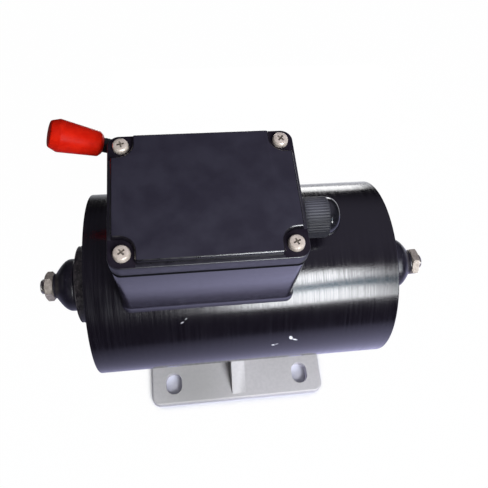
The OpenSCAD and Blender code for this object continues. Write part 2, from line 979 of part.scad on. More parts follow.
module foot_screws() {
    seat_z = foot_screw_head_h + 0.6;
    top_z = shaft_height - tube_in_r - 0.6;
    color([0.6, 0.6, 0.6])
        four_corners(foot_screw_dx, foot_screw_dy)
            translate([0, 0, seat_z])
                mirror([0, 0, 1])
                    socket_screw(foot_screw_head_r, foot_screw_head_h, foot_screw_r, top_z - seat_z);
}

// ---- terminal box ----

// Put children at the middle of the box, with Z = 0 on the shaft axis
module at_box() {
    translate([box_x, 0, shaft_height])
        children();
}

// Long cylinder around the shaft axis, for saddles and curved floors
module saddle_cylinder(radius) {
    along_x(-tube_len)
        cylinder(r = radius, h = 2 * tube_len, $fn = 96);
}

module box_saddle_pad() {
    color([0.1, 0.1, 0.1])
        at_box()
            difference() {
                intersection() {
                    linear_extrude(tube_od)
                        rounded_rectangle(box_len, box_wid, box_corner);
                    saddle_cylinder(pad_r - 0.02);
                }
                saddle_cylinder(tube_r + 0.02);
                linear_extrude(tube_od)
                    box_floor_holes();
            }
}

// Holes through the box floor and its rubber pad
module box_floor_holes() {
    translate([lead_hole_x - box_x, lead_hole_y])
        circle(r = lead_hole_r + grommet_lip + 0.5);
    four_corners(base_screw_dx, base_screw_dy)
        circle(r = base_screw_r + 0.3, $fn = 24);
}

module terminal_box_base() {
    color([0.1, 0.1, 0.12])
        at_box()
            difference() {
                union() {
                    box_walls();
                    intersection() {
                        box_block();
                        union() {
                            saddle_cylinder(floor_r);
                            four_corners(lid_screw_dx, lid_screw_dy)
                                cylinder(r = post_r, h = rim_z);
                            four_corners(base_screw_dx, base_screw_dy)
                                cylinder(r = base_pad_r, h = base_pad_z);
                            terminal_block_pads();
                        }
                    }
                }
                saddle_cylinder(pad_r);
                linear_extrude(tube_od)
                    box_floor_holes();
                four_corners(lid_screw_dx, lid_screw_dy)
                    translate([0, 0, rim_z - lid_screw_len])
                        cylinder(r = lid_screw_r + fit_gap, h = lid_screw_len + 1);
                translate([box_len / 2 - 2 * box_wall, 0, gland_z])
                    rotate([0, 90, 0])
                        cylinder(r = gland_thread_r + fit_gap, h = 3 * box_wall);
                translate([lever_x - box_x, wall_in_y - box_wall, lever_z])
                    rotate([-90, 0, 0])
                        cylinder(r = bushing_r + fit_gap, h = 3 * box_wall);
            }
}

// The box as a solid block
module box_block() {
    linear_extrude(rim_z)
        rounded_rectangle(box_len, box_wid, box_corner);
}

// The four walls of the box
module box_walls() {
    linear_extrude(rim_z)
        difference() {
            rounded_rectangle(box_len, box_wid, box_corner);
            rounded_rectangle(2 * wall_in_x, 2 * wall_in_y, max(0.4, box_corner - box_wall));
        }
}

// Two pads on the curved floor that carry the terminal block
module terminal_block_pads() {
    for (s = [-1, 1])
        translate([block_x - box_x + s * (block_len - block_pad_len) / 2 - block_pad_len / 2,
                   block_y - block_pad_wid / 2, 0])
            cube([block_pad_len, block_pad_wid, block_z]);
}

module box_base_screws() {
    color([0.7, 0.7, 0.7])
        translate([box_x, 0, shaft_height + base_pad_z])
            four_corners(base_screw_dx, base_screw_dy)
                pan_screw(base_screw_head_r, base_screw_head_h, base_screw_r, base_screw_len);
}

module lid_gasket() {
    seal_inset = 0.5;
    color([0.03, 0.03, 0.03])
        translate([box_x, 0, shaft_height + rim_z])
            linear_extrude(gasket_t)
                difference() {
                    rounded_rectangle(box_len - 2 * seal_inset, box_wid - 2 * seal_inset, box_corner);
                    difference() {
                        rounded_rectangle(2 * wall_in_x, 2 * wall_in_y, 0.4);
                        four_corners(lid_screw_dx, lid_screw_dy)
                            circle(r = post_r);
                    }
                    four_corners(lid_screw_dx, lid_screw_dy)
                        circle(r = lid_screw_r + 0.2, $fn = 24);
                }
}

module terminal_box_lid() {
    color([0.13, 0.12, 0.15])
        translate([box_x, 0, shaft_height + lid_z])
            difference() {
                union() {
                    rounded_block(lid_len, lid_wid, lid_edge_h, lid_corner, 0.6);
                    difference() {
                        rounded_block(lid_len - 2 * lid_setback, lid_wid - 2 * lid_setback,
                                      lid_edge_h + lid_field_h, lid_corner - 1.4, 0.5);
                        translate([0, 0, lid_edge_h])
                            lid_recesses();
                    }
                }
                lid_hollow();
                four_corners(lid_screw_dx, lid_screw_dy)
                    translate([0, 0, -1])
                        cylinder(r = lid_screw_r + 0.2, h = lid_edge_h + 2);
            }
}

// Corner recesses of the raised field, rounded around the lid screws
module lid_recesses() {
    for (sx = [-1, 1], sy = [-1, 1])
        translate([sx * (lid_screw_dx / 2 + lid_recess_out), sy * lid_screw_dy / 2, 0]) {
            cylinder(r = lid_recess_r, h = lid_len);
            mirror([sx < 0 ? 1 : 0, 0, 0])
                mirror([0, sy < 0 ? 1 : 0, 0]) {
                    translate([-lid_recess_r, 0, 0])
                        cube([2 * lid_recess_r + lid_corner, lid_recess_r + lid_corner, lid_len]);
                    translate([0, -lid_recess_r, 0])
                        cube([lid_recess_r + lid_corner, lid_recess_r + lid_corner, lid_len]);
                }
        }
}

// Hollow on the lid's underside that leaves bosses around the lid screws
module lid_hollow() {
    translate([0, 0, -1])
        linear_extrude(lid_edge_h + lid_field_h - lid_roof + 1)
            difference() {
                rounded_rectangle(2 * wall_in_x - 1, 2 * wall_in_y - 1, 0.4);
                four_corners(lid_screw_dx, lid_screw_dy)
                    circle(r = lid_recess_r + 1.4);
            }
}

module lid_screws() {
    color([0.78, 0.76, 0.72])
        translate([box_x, 0, shaft_height + recess_z])
            four_corners(lid_screw_dx, lid_screw_dy)
                pan_screw(lid_screw_head_r, lid_screw_head_h, lid_screw_r, lid_screw_len);
}

// ---- terminal block ----

// Put children on the terminal block's seat
module at_block() {
    translate([block_x, block_y, shaft_height + block_z])
        children();
}

// Place of one pole along the terminal block
function pole_x(i) = (i - (block_poles - 1) / 2) * block_pitch;

module terminal_block() {
    color([0.85, 0.83, 0.76])
        at_block()
            difference() {
                union() {
                    translate([-block_len / 2, -block_wid / 2, 0])
                        cube([block_len, block_wid, block_h]);
                    for (i = [0 : block_poles])
                        translate([(i - block_poles / 2) * block_pitch - barrier_t / 2, -block_wid / 2, 0])
                            cube([barrier_t, block_wid, block_h + barrier_h]);
                }
                for (i = [0 : block_poles - 1], s = [-1, 1])
                    translate([pole_x(i), s * block_wid / 4, block_h - terminal_screw_len])
                        cylinder(r = terminal_screw_r + fit_gap, h = 2 * terminal_screw_len, $fn = 24);
            }
}

module terminal_plates() {
    color([0.8, 0.65, 0.3])
        at_block()
            for (i = [0 : block_poles - 1])
                translate([pole_x(i) - plate_w / 2, -block_wid / 2 + plate_inset, block_h])
                    difference() {
                        cube([plate_w, block_wid - 2 * plate_inset, plate_t]);
                        for (s = [-1, 1])
                            translate([plate_w / 2, block_wid / 2 - plate_inset + s * block_wid / 4, -1])
                                cylinder(r = terminal_screw_r + 0.1, h = 3, $fn = 24);
                    }
}

module terminal_screws() {
    color([0.75, 0.75, 0.75])
        at_block()
            for (i = [0 : block_poles - 1], s = [-1, 1])
                translate([pole_x(i), s * block_wid / 4, block_h + plate_t])
                    pan_screw(terminal_head_r, terminal_head_h, terminal_screw_r, terminal_screw_len);
}

// ---- cable gland ----

// Put children on the gland's axis, with +Z pointing out of the box from its wall
module at_gland() {
    translate([box_x + box_len / 2, 0, shaft_height + gland_z])
        rotate([0, 90, 0])
            children();
}

module gland_body() {
    color([0.08, 0.08, 0.09])
        at_gland()
            difference() {
                union() {
                    translate([0, 0, -box_wall - locknut_h - 1])
                        cylinder(r = gland_thread_r, h = box_wall + locknut_h + 2);
                    intersection() {
                        hex_prism(gland_flange_af, gland_flange_len);
                        cylinder(r = gland_flange_af / 2 + 0.7, h = gland_flange_len);
                    }
                    cylinder(r = gland_thread_r, h = gland_flange_len + gland_sleeve_len);
                }
                translate([0, 0, -box_wall - locknut_h - 2])
                    cylinder(r = gland_bore_r, h = tube_len);
            }
}

module gland_locknut() {
    color([0.08, 0.08, 0.09])
        at_gland()
            translate([0, 0, -box_wall - locknut_h])
                hex_nut(locknut_af, locknut_h, gland_thread_r + fit_gap);
}

module gland_seal() {
    color([0.15, 0.15, 0.15])
        at_gland()
            translate([0, 0, gland_seal_start])
                ring(gland_thread_r - 0.6, cable_r, gland_seal_len);
}

module gland_nut() {
    nut_start = gland_flange_len + gland_nut_gap;
    nut_end = nut_start + gland_rib_len + gland_dome_len;
    rib_r = gland_nut_r * PI / gland_ribs * 0.52;
    color([0.08, 0.08, 0.09])
        at_gland()
            difference() {
                translate([0, 0, nut_start])
                    rotate_extrude($fn = 96)
                        gland_nut_section();
                cylinder(r = gland_thread_r + fit_gap, h = gland_seal_start);
                cylinder(r = gland_thread_r - 0.5, h = gland_seal_start + gland_seal_len + fit_gap);
                cylinder(r = gland_bore_r, h = nut_end + 1);
                around(gland_ribs, gland_nut_r)
                    translate([0, 0, nut_start - 1])
                        cylinder(r = rib_r, h = gland_rib_len + 1, $fn = 16);
            }
}

// Half section of the gland nut: straight along the ribs, then drawn in as a dome
module gland_nut_section() {
    square([gland_nut_r, gland_rib_len]);
    intersection() {
        translate([0, gland_rib_len])
            square([gland_nut_r, gland_dome_len]);
        translate([gland_nut_r - dome_curve_r, gland_rib_len])
            circle(r = dome_curve_r, $fn = 96);
    }
    translate([0, gland_rib_len])
        square([gland_nut_r - dome_curve_r, gland_dome_len]);
}

// ---- switch ----

// Put children on the lever's pivot axis, with +Z pointing out of the back wall from its outer face
module at_pivot() {
    translate([lever_x, box_wid / 2, shaft_height + lever_z])
        rotate([-90, 0, 0])
            children();
}

module switch_bushing() {
    color([0.6, 0.58, 0.52])
        at_pivot()
            difference() {
                union() {
                    cylinder(r = bushing_flange_r, h = bushing_flange_t);
                    translate([0, 0, switch_back - box_wid / 2])
                        cylinder(r = bushing_r, h = box_wid / 2 - switch_back + bushing_flange_t);
                }
                translate([0, 0, -box_wid])
                    cylinder(r = pivot_r + running_gap, h = 2 * box_wid);
            }
}

module switch_bushing_nut() {
    color([0.6, 0.58, 0.52])
        at_pivot()
            translate([0, 0, -box_wall - bushing_nut_h])
                hex_nut(bushing_nut_af, bushing_nut_h, bushing_r + fit_gap);
}

module switch_body() {
    color([0.16, 0.16, 0.18])
        translate([lever_x, switch_back, shaft_height + lever_z])
            rotate([90, 0, 0])
                difference() {
                    linear_extrude(switch_depth)
                        rounded_rectangle(switch_side, switch_side, 2);
                    translate([0, 0, switch_floor])
                        cylinder(r = switch_rotor_r + turn_gap, h = switch_depth);
                    translate([0, 0, -1])
                        cylinder(r = pivot_r + turn_gap, h = switch_depth);
                    translate([-switch_side, -contact_w / 2 - contact_clear, contact_depth - contact_clear])
                        cube([2 * switch_side, contact_w + 2 * contact_clear, contact_w + 2 * contact_clear]);
                }
}

module switch_contacts() {
    color([0.8, 0.5, 0.25])
        translate([lever_x, switch_back, shaft_height + lever_z])
            rotate([90, 0, 0])
                for (s = [-1, 1])
                    mirror([s < 0 ? 1 : 0, 0, 0])
                        translate([switch_rotor_r + turn_gap, -contact_w / 2, contact_depth])
                            cube([switch_lead_x + lead_r - switch_rotor_r - turn_gap, contact_w, contact_w]);
}

// Leads from the switch contacts down to the back of the terminal block
module switch_leads() {
    start_y = switch_back - contact_depth - contact_w - seat_gap;
    start_z = shaft_height + lever_z;
    block_back = block_y + block_wid / 2 + seat_gap;
    high_z = shaft_height + block_z + block_h - 2;
    low_z = shaft_height + floor_r + lead_r + 0.8;
    color([0.15, 0.2, 0.6]) {
        wire([
            [lever_x + switch_lead_x, start_y, start_z], [lever_x + switch_lead_x, block_back + 2.4, start_z],
            [lever_x + switch_lead_x, block_back + 2.4, high_z], [lever_x + switch_lead_x, block_back, high_z]
        ], lead_r);
        wire([
            [lever_x - switch_lead_x, start_y, start_z], [lever_x - switch_lead_x, block_back + 3.4, start_z],
            [lever_x - switch_lead_x, block_back + 3.4, low_z], [block_x + pole_x(1), block_back + 3.4, low_z],
            [block_x + pole_x(1), block_back, low_z]
        ], lead_r);
    }
}

// ---- lever ----

// Put children on the lever's arm: +Z runs from the pivot along the rod at rest
module at_arm() {
    translate([lever_x, box_wid / 2 + lever_offset, shaft_height + lever_z])
        rotate([0, -90 + lever_tilt, 0])
            children();
}

module lever_shaft() {
    hub_back = lever_offset + hub_len / 2;
    inner_end = box_wid / 2 - switch_back + switch_depth - 2 * turn_gap;
    color([0.6, 0.6, 0.62])
        at_pivot()
            translate([0, 0, -inner_end])
                cylinder(r = pivot_r, h = inner_end + hub_back + pivot_proud);
}

module switch_rotor() {
    color([0.8, 0.78, 0.7])
        translate([lever_x, switch_back, shaft_height + lever_z])
            rotate([90, -lever_tilt, 0])
                translate([0, 0, switch_floor + turn_gap])
                    difference() {
                        cylinder(r = switch_rotor_r, h = switch_depth - switch_floor - 2 * turn_gap);
                        translate([0, 0, -1])
                            cylinder(r = pivot_r + fit_gap, h = switch_depth);
                        for (s = [-1, 1])
                            translate([-cam_notch_w / 2, s * switch_rotor_r - cam_notch_depth, -1])
                                cube([cam_notch_w, 2 * cam_notch_depth, switch_depth]);
                    }
}

module lever_hub() {
    color([0.12, 0.12, 0.13])
        at_arm()
            difference() {
                rotate([90, 0, 0])
                    translate([0, 0, -hub_len / 2])
                        cylinder(r = hub_r, h = hub_len);
                rotate([90, 0, 0])
                    translate([0, 0, -hub_len])
                        cylinder(r = pivot_r + fit_gap, h = 2 * hub_len);
                cylinder(r = rod_thread_r + fit_gap, h = hub_r + 1);
                translate([0, 0, -hub_r - 1])
                    cylinder(r = set_screw_r + fit_gap, h = hub_r + 1);
            }
}

module hub_set_screw() {
    color([0.3, 0.3, 0.3])
        at_arm()
            translate([0, 0, -hub_r + seat_gap])
                difference() {
                    cylinder(r = set_screw_r, h = hub_r - pivot_r - seat_gap - fit_gap);
                    translate([0, 0, -1])
                        hex_prism(set_screw_r, 1 + set_screw_r);
                }
}

module lever_rod() {
    color([0.08, 0.08, 0.09])
        at_arm() {
            translate([0, 0, hub_r + fit_gap])
                cylinder(r = lever_rod_r, h = grip_start + grip_len - grip_wall_end - seat_gap - hub_r - fit_gap);
            translate([0, 0, pivot_r + fit_gap])
                cylinder(r = rod_thread_r, h = hub_r);
        }
}

module lever_grip() {
    color([0.82, 0.1, 0.06])
        at_arm()
            translate([0, 0, grip_start])
                difference() {
                    rotate_extrude($fn = 64)
                        grip_section();
                    translate([0, 0, -1])
                        cylinder(r = lever_rod_r + fit_gap, h = grip_len - grip_wall_end + 1);
                }
}

// Half section of the tapered grip, from its neck to its end face
module grip_section() {
    neck_bevel = 1.6;
    end_bevel = 3.8;
    end_round = 0.8;
    polygon([
        [0, 0], [grip_neck_r - 1.2, 0], [grip_neck_r, neck_bevel],
        [grip_r, grip_len - end_bevel], [grip_end_r, grip_len - end_round],
        [grip_end_r - end_round, grip_len], [0, grip_len]
    ]);
}

// ---- rotor ----

module shaft() {
    core_half = core_len / 2 + cage_ring_len;
    color([0.66, 0.67, 0.69])
        on_axis()
            along_x()
                rotate_extrude()
                    polygon([
                        [0, -left_tip], [pilot_r - stud_chamfer, -left_tip],
                        [pilot_r, -left_tip + stud_chamfer], [pilot_r, -left_pilot_start],
                        [stud_r, -left_pilot_start], [stud_r, -left_nut_start + neck_clamp],
                        [bearing_bore_r, -left_nut_start + neck_clamp], [bearing_bore_r, -bearing_back],
                        [bearing_collar_r, -bearing_back], [bearing_collar_r, -core_half],
                        [shaft_core_r, -core_half], [shaft_core_r, core_half],
                        [bearing_collar_r, core_half], [bearing_collar_r, bearing_back],
                        [bearing_bore_r, bearing_back], [bearing_bore_r, right_nut_start - neck_clamp],
                        [stud_r, right_nut_start - neck_clamp], [stud_r, right_pilot_start],
                        [pilot_r, right_pilot_start], [pilot_r, right_tip - stud_chamfer],
                        [pilot_r - stud_chamfer, right_tip], [0, right_tip]
                    ]);
}

module rotor_core() {
    color([0.45, 0.46, 0.48])
        at_end(1, -core_len / 2)
            linear_extrude(core_len)
                difference() {
                    circle(r = rotor_r, $fn = 96);
                    circle(r = shaft_core_r + 0.02);
                    around(bar_count, bar_circle_r)
                        circle(r = bar_r + 0.02, $fn = 24);
                }
}

module rotor_cage() {
    bar_half = core_len / 2 + 1;
    color([0.75, 0.76, 0.78]) {
        at_end(1, -bar_half)
            around(bar_count, bar_circle_r)
                cylinder(r = bar_r, h = 2 * bar_half, $fn = 24);
        for (side = [-1, 1])
            at_end(side, core_len / 2)
                ring(rotor_r - 0.6, bar_circle_r - bar_r - 2, cage_ring_len);
    }
}

// Dome-shaped rubber boot, open towards its motor end at Z = 0
module boot_form() {
    cup_depth = boot_len - boot_neck_len - boot_web;
    difference() {
        rotate_extrude($fn = 96)
            boot_section(0);
        translate([0, 0, -0.01])
            rotate_extrude()
                intersection() {
                    boot_section(boot_wall);
                    translate([bearing_bore_r + boot_core_wall, -1])
                        square([boot_r, cup_depth + 1]);
                }
        translate([0, 0, -1])
            cylinder(r = bearing_bore_r + 0.02, h = boot_len - neck_clamp + 1);
        cylinder(r = stud_r + 0.02, h = boot_len + 1);
    }
}

// Half section of a boot, drawn in all round by the given inset
module boot_section(inset) {
    dome_len = boot_len - boot_neck_len;
    belly = dome_len * boot_belly;
    steps = 12;
    rim = [for (i = [0 : steps / 2])
        let (t = 2 * i / steps) [boot_rim_r + (boot_r - boot_rim_r) * sin(90 * t) - inset, belly * t]];
    crown = [for (i = [1 : steps])
        let (a = 90 * i / steps)
            [boot_neck_r + (boot_r - boot_neck_r) * pow(cos(a), boot_taper) - inset,
             belly + (dome_len - belly) * sin(a) - (i == steps ? 0 : inset * sin(a))]];
    polygon(concat([[0, 0]], rim, crown, [[boot_neck_r - inset, boot_len], [0, boot_len]]));
}

module left_boot() {
    color([0.07, 0.07, 0.09])
        at_end(-1, left_boot_start)
            boot_form();
}

module right_boot() {
    color([0.07, 0.07, 0.09])
        at_end(1, right_boot_start)
            boot_form();
}

module left_shaft_nut() {
    color([0.75, 0.74, 0.71])
        at_end(-1, left_nut_start)
            rotate([0, 0, left_nut_turn])
                hex_nut(shaft_nut_af, shaft_nut_h, stud_r + fit_gap);
}

module right_shaft_nut() {
    color([0.75, 0.74, 0.71])
        at_end(1, right_nut_start)
            rotate([0, 0, right_nut_turn])
                hex_nut(shaft_nut_af, shaft_nut_h, stud_r + fit_gap);
}

housing_tube();
left_end_cover();
right_end_cover();
left_bearing_cap();
right_bearing_cap();
left_cap_screws();
right_cap_screws();
through_bolts();
through_bolt_nuts();
left_outer_ring();
right_outer_ring();
wave_washer();
stator_core();
stator_winding();
motor_leads();
lead_grommet();
foot_bracket();
foot_screws();
box_saddle_pad();
terminal_box_base();
box_base_screws();
lid_gasket();
terminal_box_lid();
lid_screws();
terminal_block();
terminal_plates();
terminal_screws();
gland_body();
gland_locknut();
gland_seal();
gland_nut();
switch_bushing();
switch_bushing_nut();
switch_body();
switch_contacts();
switch_leads();
lever_shaft();
switch_rotor();
lever_hub();
hub_set_screw();
lever_rod();
lever_grip();
shaft();
rotor_core();
rotor_cage();
left_inner_ring();
right_inner_ring();
left_boot();
right_boot();
left_shaft_nut();
right_shaft_nut();
left_balls();
left_ball_cage();
right_balls();
right_ball_cage();
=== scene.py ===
# %% [markdown]
# A small foot-mounted electric motor, finished in Blender.
# The CAD model is loaded first and is never moved. It gives the place and the size of every part, so
# each new piece below asks the frame where its CAD part is, and is then shaped and finished there.

# %% Load the fixed frame
import math
import bmesh
import bpy
from mathutils import Matrix, Vector


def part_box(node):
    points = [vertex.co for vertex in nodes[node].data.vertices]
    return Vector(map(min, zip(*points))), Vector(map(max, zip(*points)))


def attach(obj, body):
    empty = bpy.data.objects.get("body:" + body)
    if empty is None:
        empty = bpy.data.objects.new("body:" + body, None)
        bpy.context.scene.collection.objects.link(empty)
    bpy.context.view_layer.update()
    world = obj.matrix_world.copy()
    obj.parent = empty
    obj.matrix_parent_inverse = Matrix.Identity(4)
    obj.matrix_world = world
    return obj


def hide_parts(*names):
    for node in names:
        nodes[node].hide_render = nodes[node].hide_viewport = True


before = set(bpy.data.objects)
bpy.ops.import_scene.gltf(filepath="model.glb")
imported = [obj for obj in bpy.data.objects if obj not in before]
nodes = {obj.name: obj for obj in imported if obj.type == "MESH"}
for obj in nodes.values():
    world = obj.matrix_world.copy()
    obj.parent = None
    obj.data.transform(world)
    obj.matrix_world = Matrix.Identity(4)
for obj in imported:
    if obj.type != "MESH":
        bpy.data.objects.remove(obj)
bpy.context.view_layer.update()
scene = bpy.context.scene
MM = 0.001

# %% [markdown]
# The camera comes first, so that every later look is judged from the right place. It looks steeply down
# on the motor from the front left with a slightly wide lens, close enough to show some perspective.
# A camera's axes are the columns of its matrix: right, up, and backwards.

# %% Camera
camera_data = bpy.data.cameras.new("camera")
camera_data.lens = 39.04
camera_data.sensor_width = 36.0
camera_data.clip_start = 0.01
camera = bpy.data.objects.new("camera", camera_data)
camera_right = Vector((0.99153, -0.10427, 0.07730))
camera_up = Vector((0.06173, 0.90268, 0.42586))
camera_back = camera_right.cross(camera_up)
turn = Matrix((camera_right, camera_up, camera_back)).transposed()
camera.matrix_world = Matrix.Translation((-0.02681, -0.10278, 0.32043)) @ turn.to_4x4()
scene.collection.objects.link(camera)
scene.camera = camera
print("camera looks down at", round(math.degrees(math.asin(camera_back.z))), "degrees")

# %% [markdown]
# A finish is a small network of nodes. The one used most is Map Range, which turns a value into the range
# that a colour mix, a roughness or a brightness needs. One helper adds it and links it, so that each
# finish below reads as a list of what it does. Object space is in metres and rides with the piece.

# %% Helpers for ranges and places
def ranged(tree, value, low, high, start=0.0, end=1.0, soft=False):
    node = tree.nodes.new("ShaderNodeMapRange")
    if soft:
        node.interpolation_type = "SMOOTHSTEP"
    for socket, number in (("From Min", low), ("From Max", high), ("To Min", start), ("To Max", end)):
        node.inputs[socket].default_value = number
    tree.links.new(value, node.inputs["Value"])
    return node.outputs["Result"]


def object_place(tree):
    return tree.nodes.new("ShaderNodeTexCoord").outputs["Object"]


def colour_mix(tree, share, colour):
    node = tree.nodes.new("ShaderNodeMix")
    node.data_type = "RGBA"
    node.inputs["B"].default_value = (*colour, 1)
    tree.links.new(share, node.inputs["Factor"])
    return node

# %% [markdown]
# Most finishes here are one idea: a base colour that drifts a little between two near tones, a roughness
# that drifts with it, and a shallow bump, all from one noise in object space. The grain is given as a real
# size in metres. Stretching the noise turns it into brush lines or strands. A noise rarely leaves the
# middle of its range, so that middle is spread over the whole drift. Each finish is kept under its name.

# %% A helper for finishes
NOISE_LOW, NOISE_HIGH = 0.36, 0.64
FINISHES = {}


def surface(name, tones, rough, grain, bump, metallic=0.0, stretch=(1, 1, 1), detail=4.0, **sockets):
    material = bpy.data.materials.new(name)
    material.use_nodes = True
    tree = material.node_tree
    link = tree.links.new
    shader = tree.nodes["Principled BSDF"]
    shader.inputs["Metallic"].default_value = metallic
    for socket, value in sockets.items():
        shader.inputs[socket.replace("_", " ")].default_value = value
    stretcher = tree.nodes.new("ShaderNodeMapping")
    stretcher.inputs["Scale"].default_value = stretch
    link(object_place(tree), stretcher.inputs["Vector"])
    noise = tree.nodes.new("ShaderNodeTexNoise")
    noise.inputs["Scale"].default_value = 1 / grain
    noise.inputs["Detail"].default_value = detail
    link(stretcher.outputs["Vector"], noise.inputs["Vector"])
    drift = ranged(tree, noise.outputs["Fac"], NOISE_LOW, NOISE_HIGH)
    tone = colour_mix(tree, drift, tones[1])
    tone.name = "tone"
    tone.inputs["A"].default_value = (*tones[0], 1)
    link(tone.outputs["Result"], shader.inputs["Base Color"])
    link(ranged(tree, drift, 0.0, 1.0, *rough), shader.inputs["Roughness"])
    relief = tree.nodes.new("ShaderNodeBump")
    relief.name = "relief"
    relief.inputs["Distance"].default_value = bump
    link(noise.outputs["Fac"], relief.inputs["Height"])
    link(relief.outputs["Normal"], shader.inputs["Normal"])
    FINISHES[name] = material
    return material

# %% [markdown]
# Large soft unevenness makes a moulded or painted face look real, because it bends the reflections. It is
# a second bump in front of the fine one, with a coarser noise. Dust is a noise cut off sharply, so that
# only its highest spots show: they are mixed over the base colour as small pale specks.

# %% Helpers for slow unevenness and for dust
def add_waviness(material, size, depth):
    tree = material.node_tree
    waves = tree.nodes.new("ShaderNodeTexNoise")
    waves.inputs["Scale"].default_value = 1 / size
    waves.inputs["Detail"].default_value = 1.0
    relief = tree.nodes.new("ShaderNodeBump")
    relief.inputs["Distance"].default_value = depth
    tree.links.new(object_place(tree), waves.inputs["Vector"])
    tree.links.new(waves.outputs["Fac"], relief.inputs["Height"])
    tree.links.new(relief.outputs["Normal"], tree.nodes["relief"].inputs["Normal"])


def add_specks(material, size, share, colour):
    tree = material.node_tree
    speckle = tree.nodes.new("ShaderNodeTexNoise")
    speckle.inputs["Scale"].default_value = 1 / size
    speckle.inputs["Detail"].default_value = 2.0
    tree.links.new(object_place(tree), speckle.inputs["Vector"])
    picked = ranged(tree, speckle.outputs["Fac"], 1 - share, 1.02 - share)
    cover = colour_mix(tree, picked, colour)
    tree.links.new(tree.nodes["tone"].outputs["Result"], cover.inputs["A"])
    tree.links.new(cover.outputs["Result"], tree.nodes["Principled BSDF"].inputs["Base Color"])

# %% [markdown]
# Some places are painted lighter or darker than the rest of their piece: painted shade on the left of the
# foot and painted light on the top of the gland nut. Each patch is a colour that fades with the distance from
# one point, given in the shared frame. It goes in front of whatever already feeds the base colour.

# %% A helper for painted light and shade
def add_painted_lighting(material, middle, reach, colour, strength):
    tree = material.node_tree
    base = tree.nodes["Principled BSDF"].inputs["Base Color"]
    away = tree.nodes.new("ShaderNodeVectorMath")
    away.operation = "DISTANCE"
    away.inputs[1].default_value = middle
    tree.links.new(object_place(tree), away.inputs[0])
    fade = ranged(tree, away.outputs["Value"], 0.0, reach, strength, 0.0, soft=True)
    painted_patch = colour_mix(tree, fade, colour)
    tree.links.new(base.links[0].from_socket, painted_patch.inputs["A"])
    tree.links.new(painted_patch.outputs["Result"], base)

# %% [markdown]
# The outside metal and paint. The tube is black anodised and brushed round its axis, so its gloss is
# stretched along the shaft: anisotropy with a tangent that runs round X does that. The box and lid are
# painted satin black, the foot is bare cast aluminium, and the screws are warm nickel.

# %% Outside finishes
anodised = surface("housing_black", ((0.0042, 0.0033, 0.0056), (0.0064, 0.0052, 0.0084)), (0.15, 0.27),
                   0.0006, 0.00003, stretch=(1, 0.02, 0.02), Anisotropic=0.7, Anisotropic_Rotation=0.25,
                   Specular_IOR_Level=0.70)
brush_direction = anodised.node_tree.nodes.new("ShaderNodeTangent")
brush_direction.direction_type = "RADIAL"
brush_direction.axis = "X"
anodised.node_tree.links.new(brush_direction.outputs["Tangent"],
                             anodised.node_tree.nodes["Principled BSDF"].inputs["Tangent"])
surface("cover_black", ((0.010, 0.010, 0.012), (0.018, 0.018, 0.020)), (0.32, 0.45), 0.0015, 0.00001,
        Specular_IOR_Level=0.6)
surface("box_black", ((0.009, 0.0078, 0.014), (0.013, 0.0115, 0.019)), (0.20, 0.27), 0.002, 0.000003,
        Specular_IOR_Level=1.0, Coat_Weight=0.6, Coat_Roughness=0.2)
add_waviness(FINISHES["box_black"], 0.009, 0.00008)
surface("lid_black", ((0.0180, 0.0160, 0.0260), (0.0245, 0.0225, 0.0350)), (0.30, 0.42), 0.009, 0.00002,
        Specular_IOR_Level=0.32)
# Painted shade: the lid's recesses and its underside are painted darker than its field.
surface("recess_black", ((0.0105, 0.0078, 0.0135), (0.0150, 0.0118, 0.0185)), (0.50, 0.65), 0.003, 0.00001,
        Specular_IOR_Level=0.06)
surface("edge_black", ((0.0035, 0.003, 0.005), (0.006, 0.005, 0.008)), (0.26, 0.34), 0.003, 0.000004,
        Specular_IOR_Level=0.9)
surface("skirt_black", ((0.008, 0.007, 0.012), (0.012, 0.0105, 0.017)), (0.34, 0.44), 0.002, 0.000003,
        Specular_IOR_Level=0.9)
surface("bare_chip", ((0.62, 0.62, 0.66), (0.80, 0.80, 0.84)), (0.4, 0.5), 0.0006, 0.00002)
surface("foot_cast", ((0.455, 0.440, 0.450), (0.500, 0.482, 0.492)), (0.50, 0.62), 0.0016, 0.00001,
        metallic=0.1)
# Painted shade: a darker patch on the left front of the foot plate.
add_painted_lighting(FINISHES["foot_cast"], (-0.026, -0.048, 0.006), 0.038, (0.28, 0.275, 0.262), 0.60)
surface("cap_worn", ((0.016, 0.013, 0.017), (0.070, 0.062, 0.066)), (0.42, 0.60), 0.0022, 0.00002,
        Specular_IOR_Level=0.4)
add_specks(FINISHES["cap_worn"], 0.0008, 0.38, (0.11, 0.098, 0.102))
surface("zinc_steel", ((0.50, 0.50, 0.50), (0.62, 0.61, 0.58)), (0.28, 0.42), 0.002, 0.00001, metallic=1.0)
surface("nickel_screw", ((0.74, 0.64, 0.54), (0.86, 0.75, 0.65)), (0.30, 0.44), 0.0014, 0.00001,
        metallic=0.55)
surface("nut_steel", ((0.31, 0.268, 0.230), (0.46, 0.408, 0.360)), (0.48, 0.60), 0.0012, 0.00002,
        metallic=0.6)
# The cross recesses of the lid screws are coloured dark brown.
surface("recess_brown", ((0.018, 0.013, 0.010), (0.20, 0.165, 0.13)), (0.50, 0.65), 0.0005, 0.00002)
surface("shaft_steel", ((0.38, 0.36, 0.34), (0.52, 0.49, 0.46)), (0.34, 0.46), 0.0006, 0.00001,
        metallic=1.0, stretch=(1, 0.05, 0.05))
print(len(FINISHES), "outside finishes")

# %% [markdown]
# Rubber and plastic. The boots are smooth rubber with a soft sheen and a few specks of dust, the gland is
# moulded black plastic, and the grip is a glossy red moulding with a clear, slightly uneven skin.

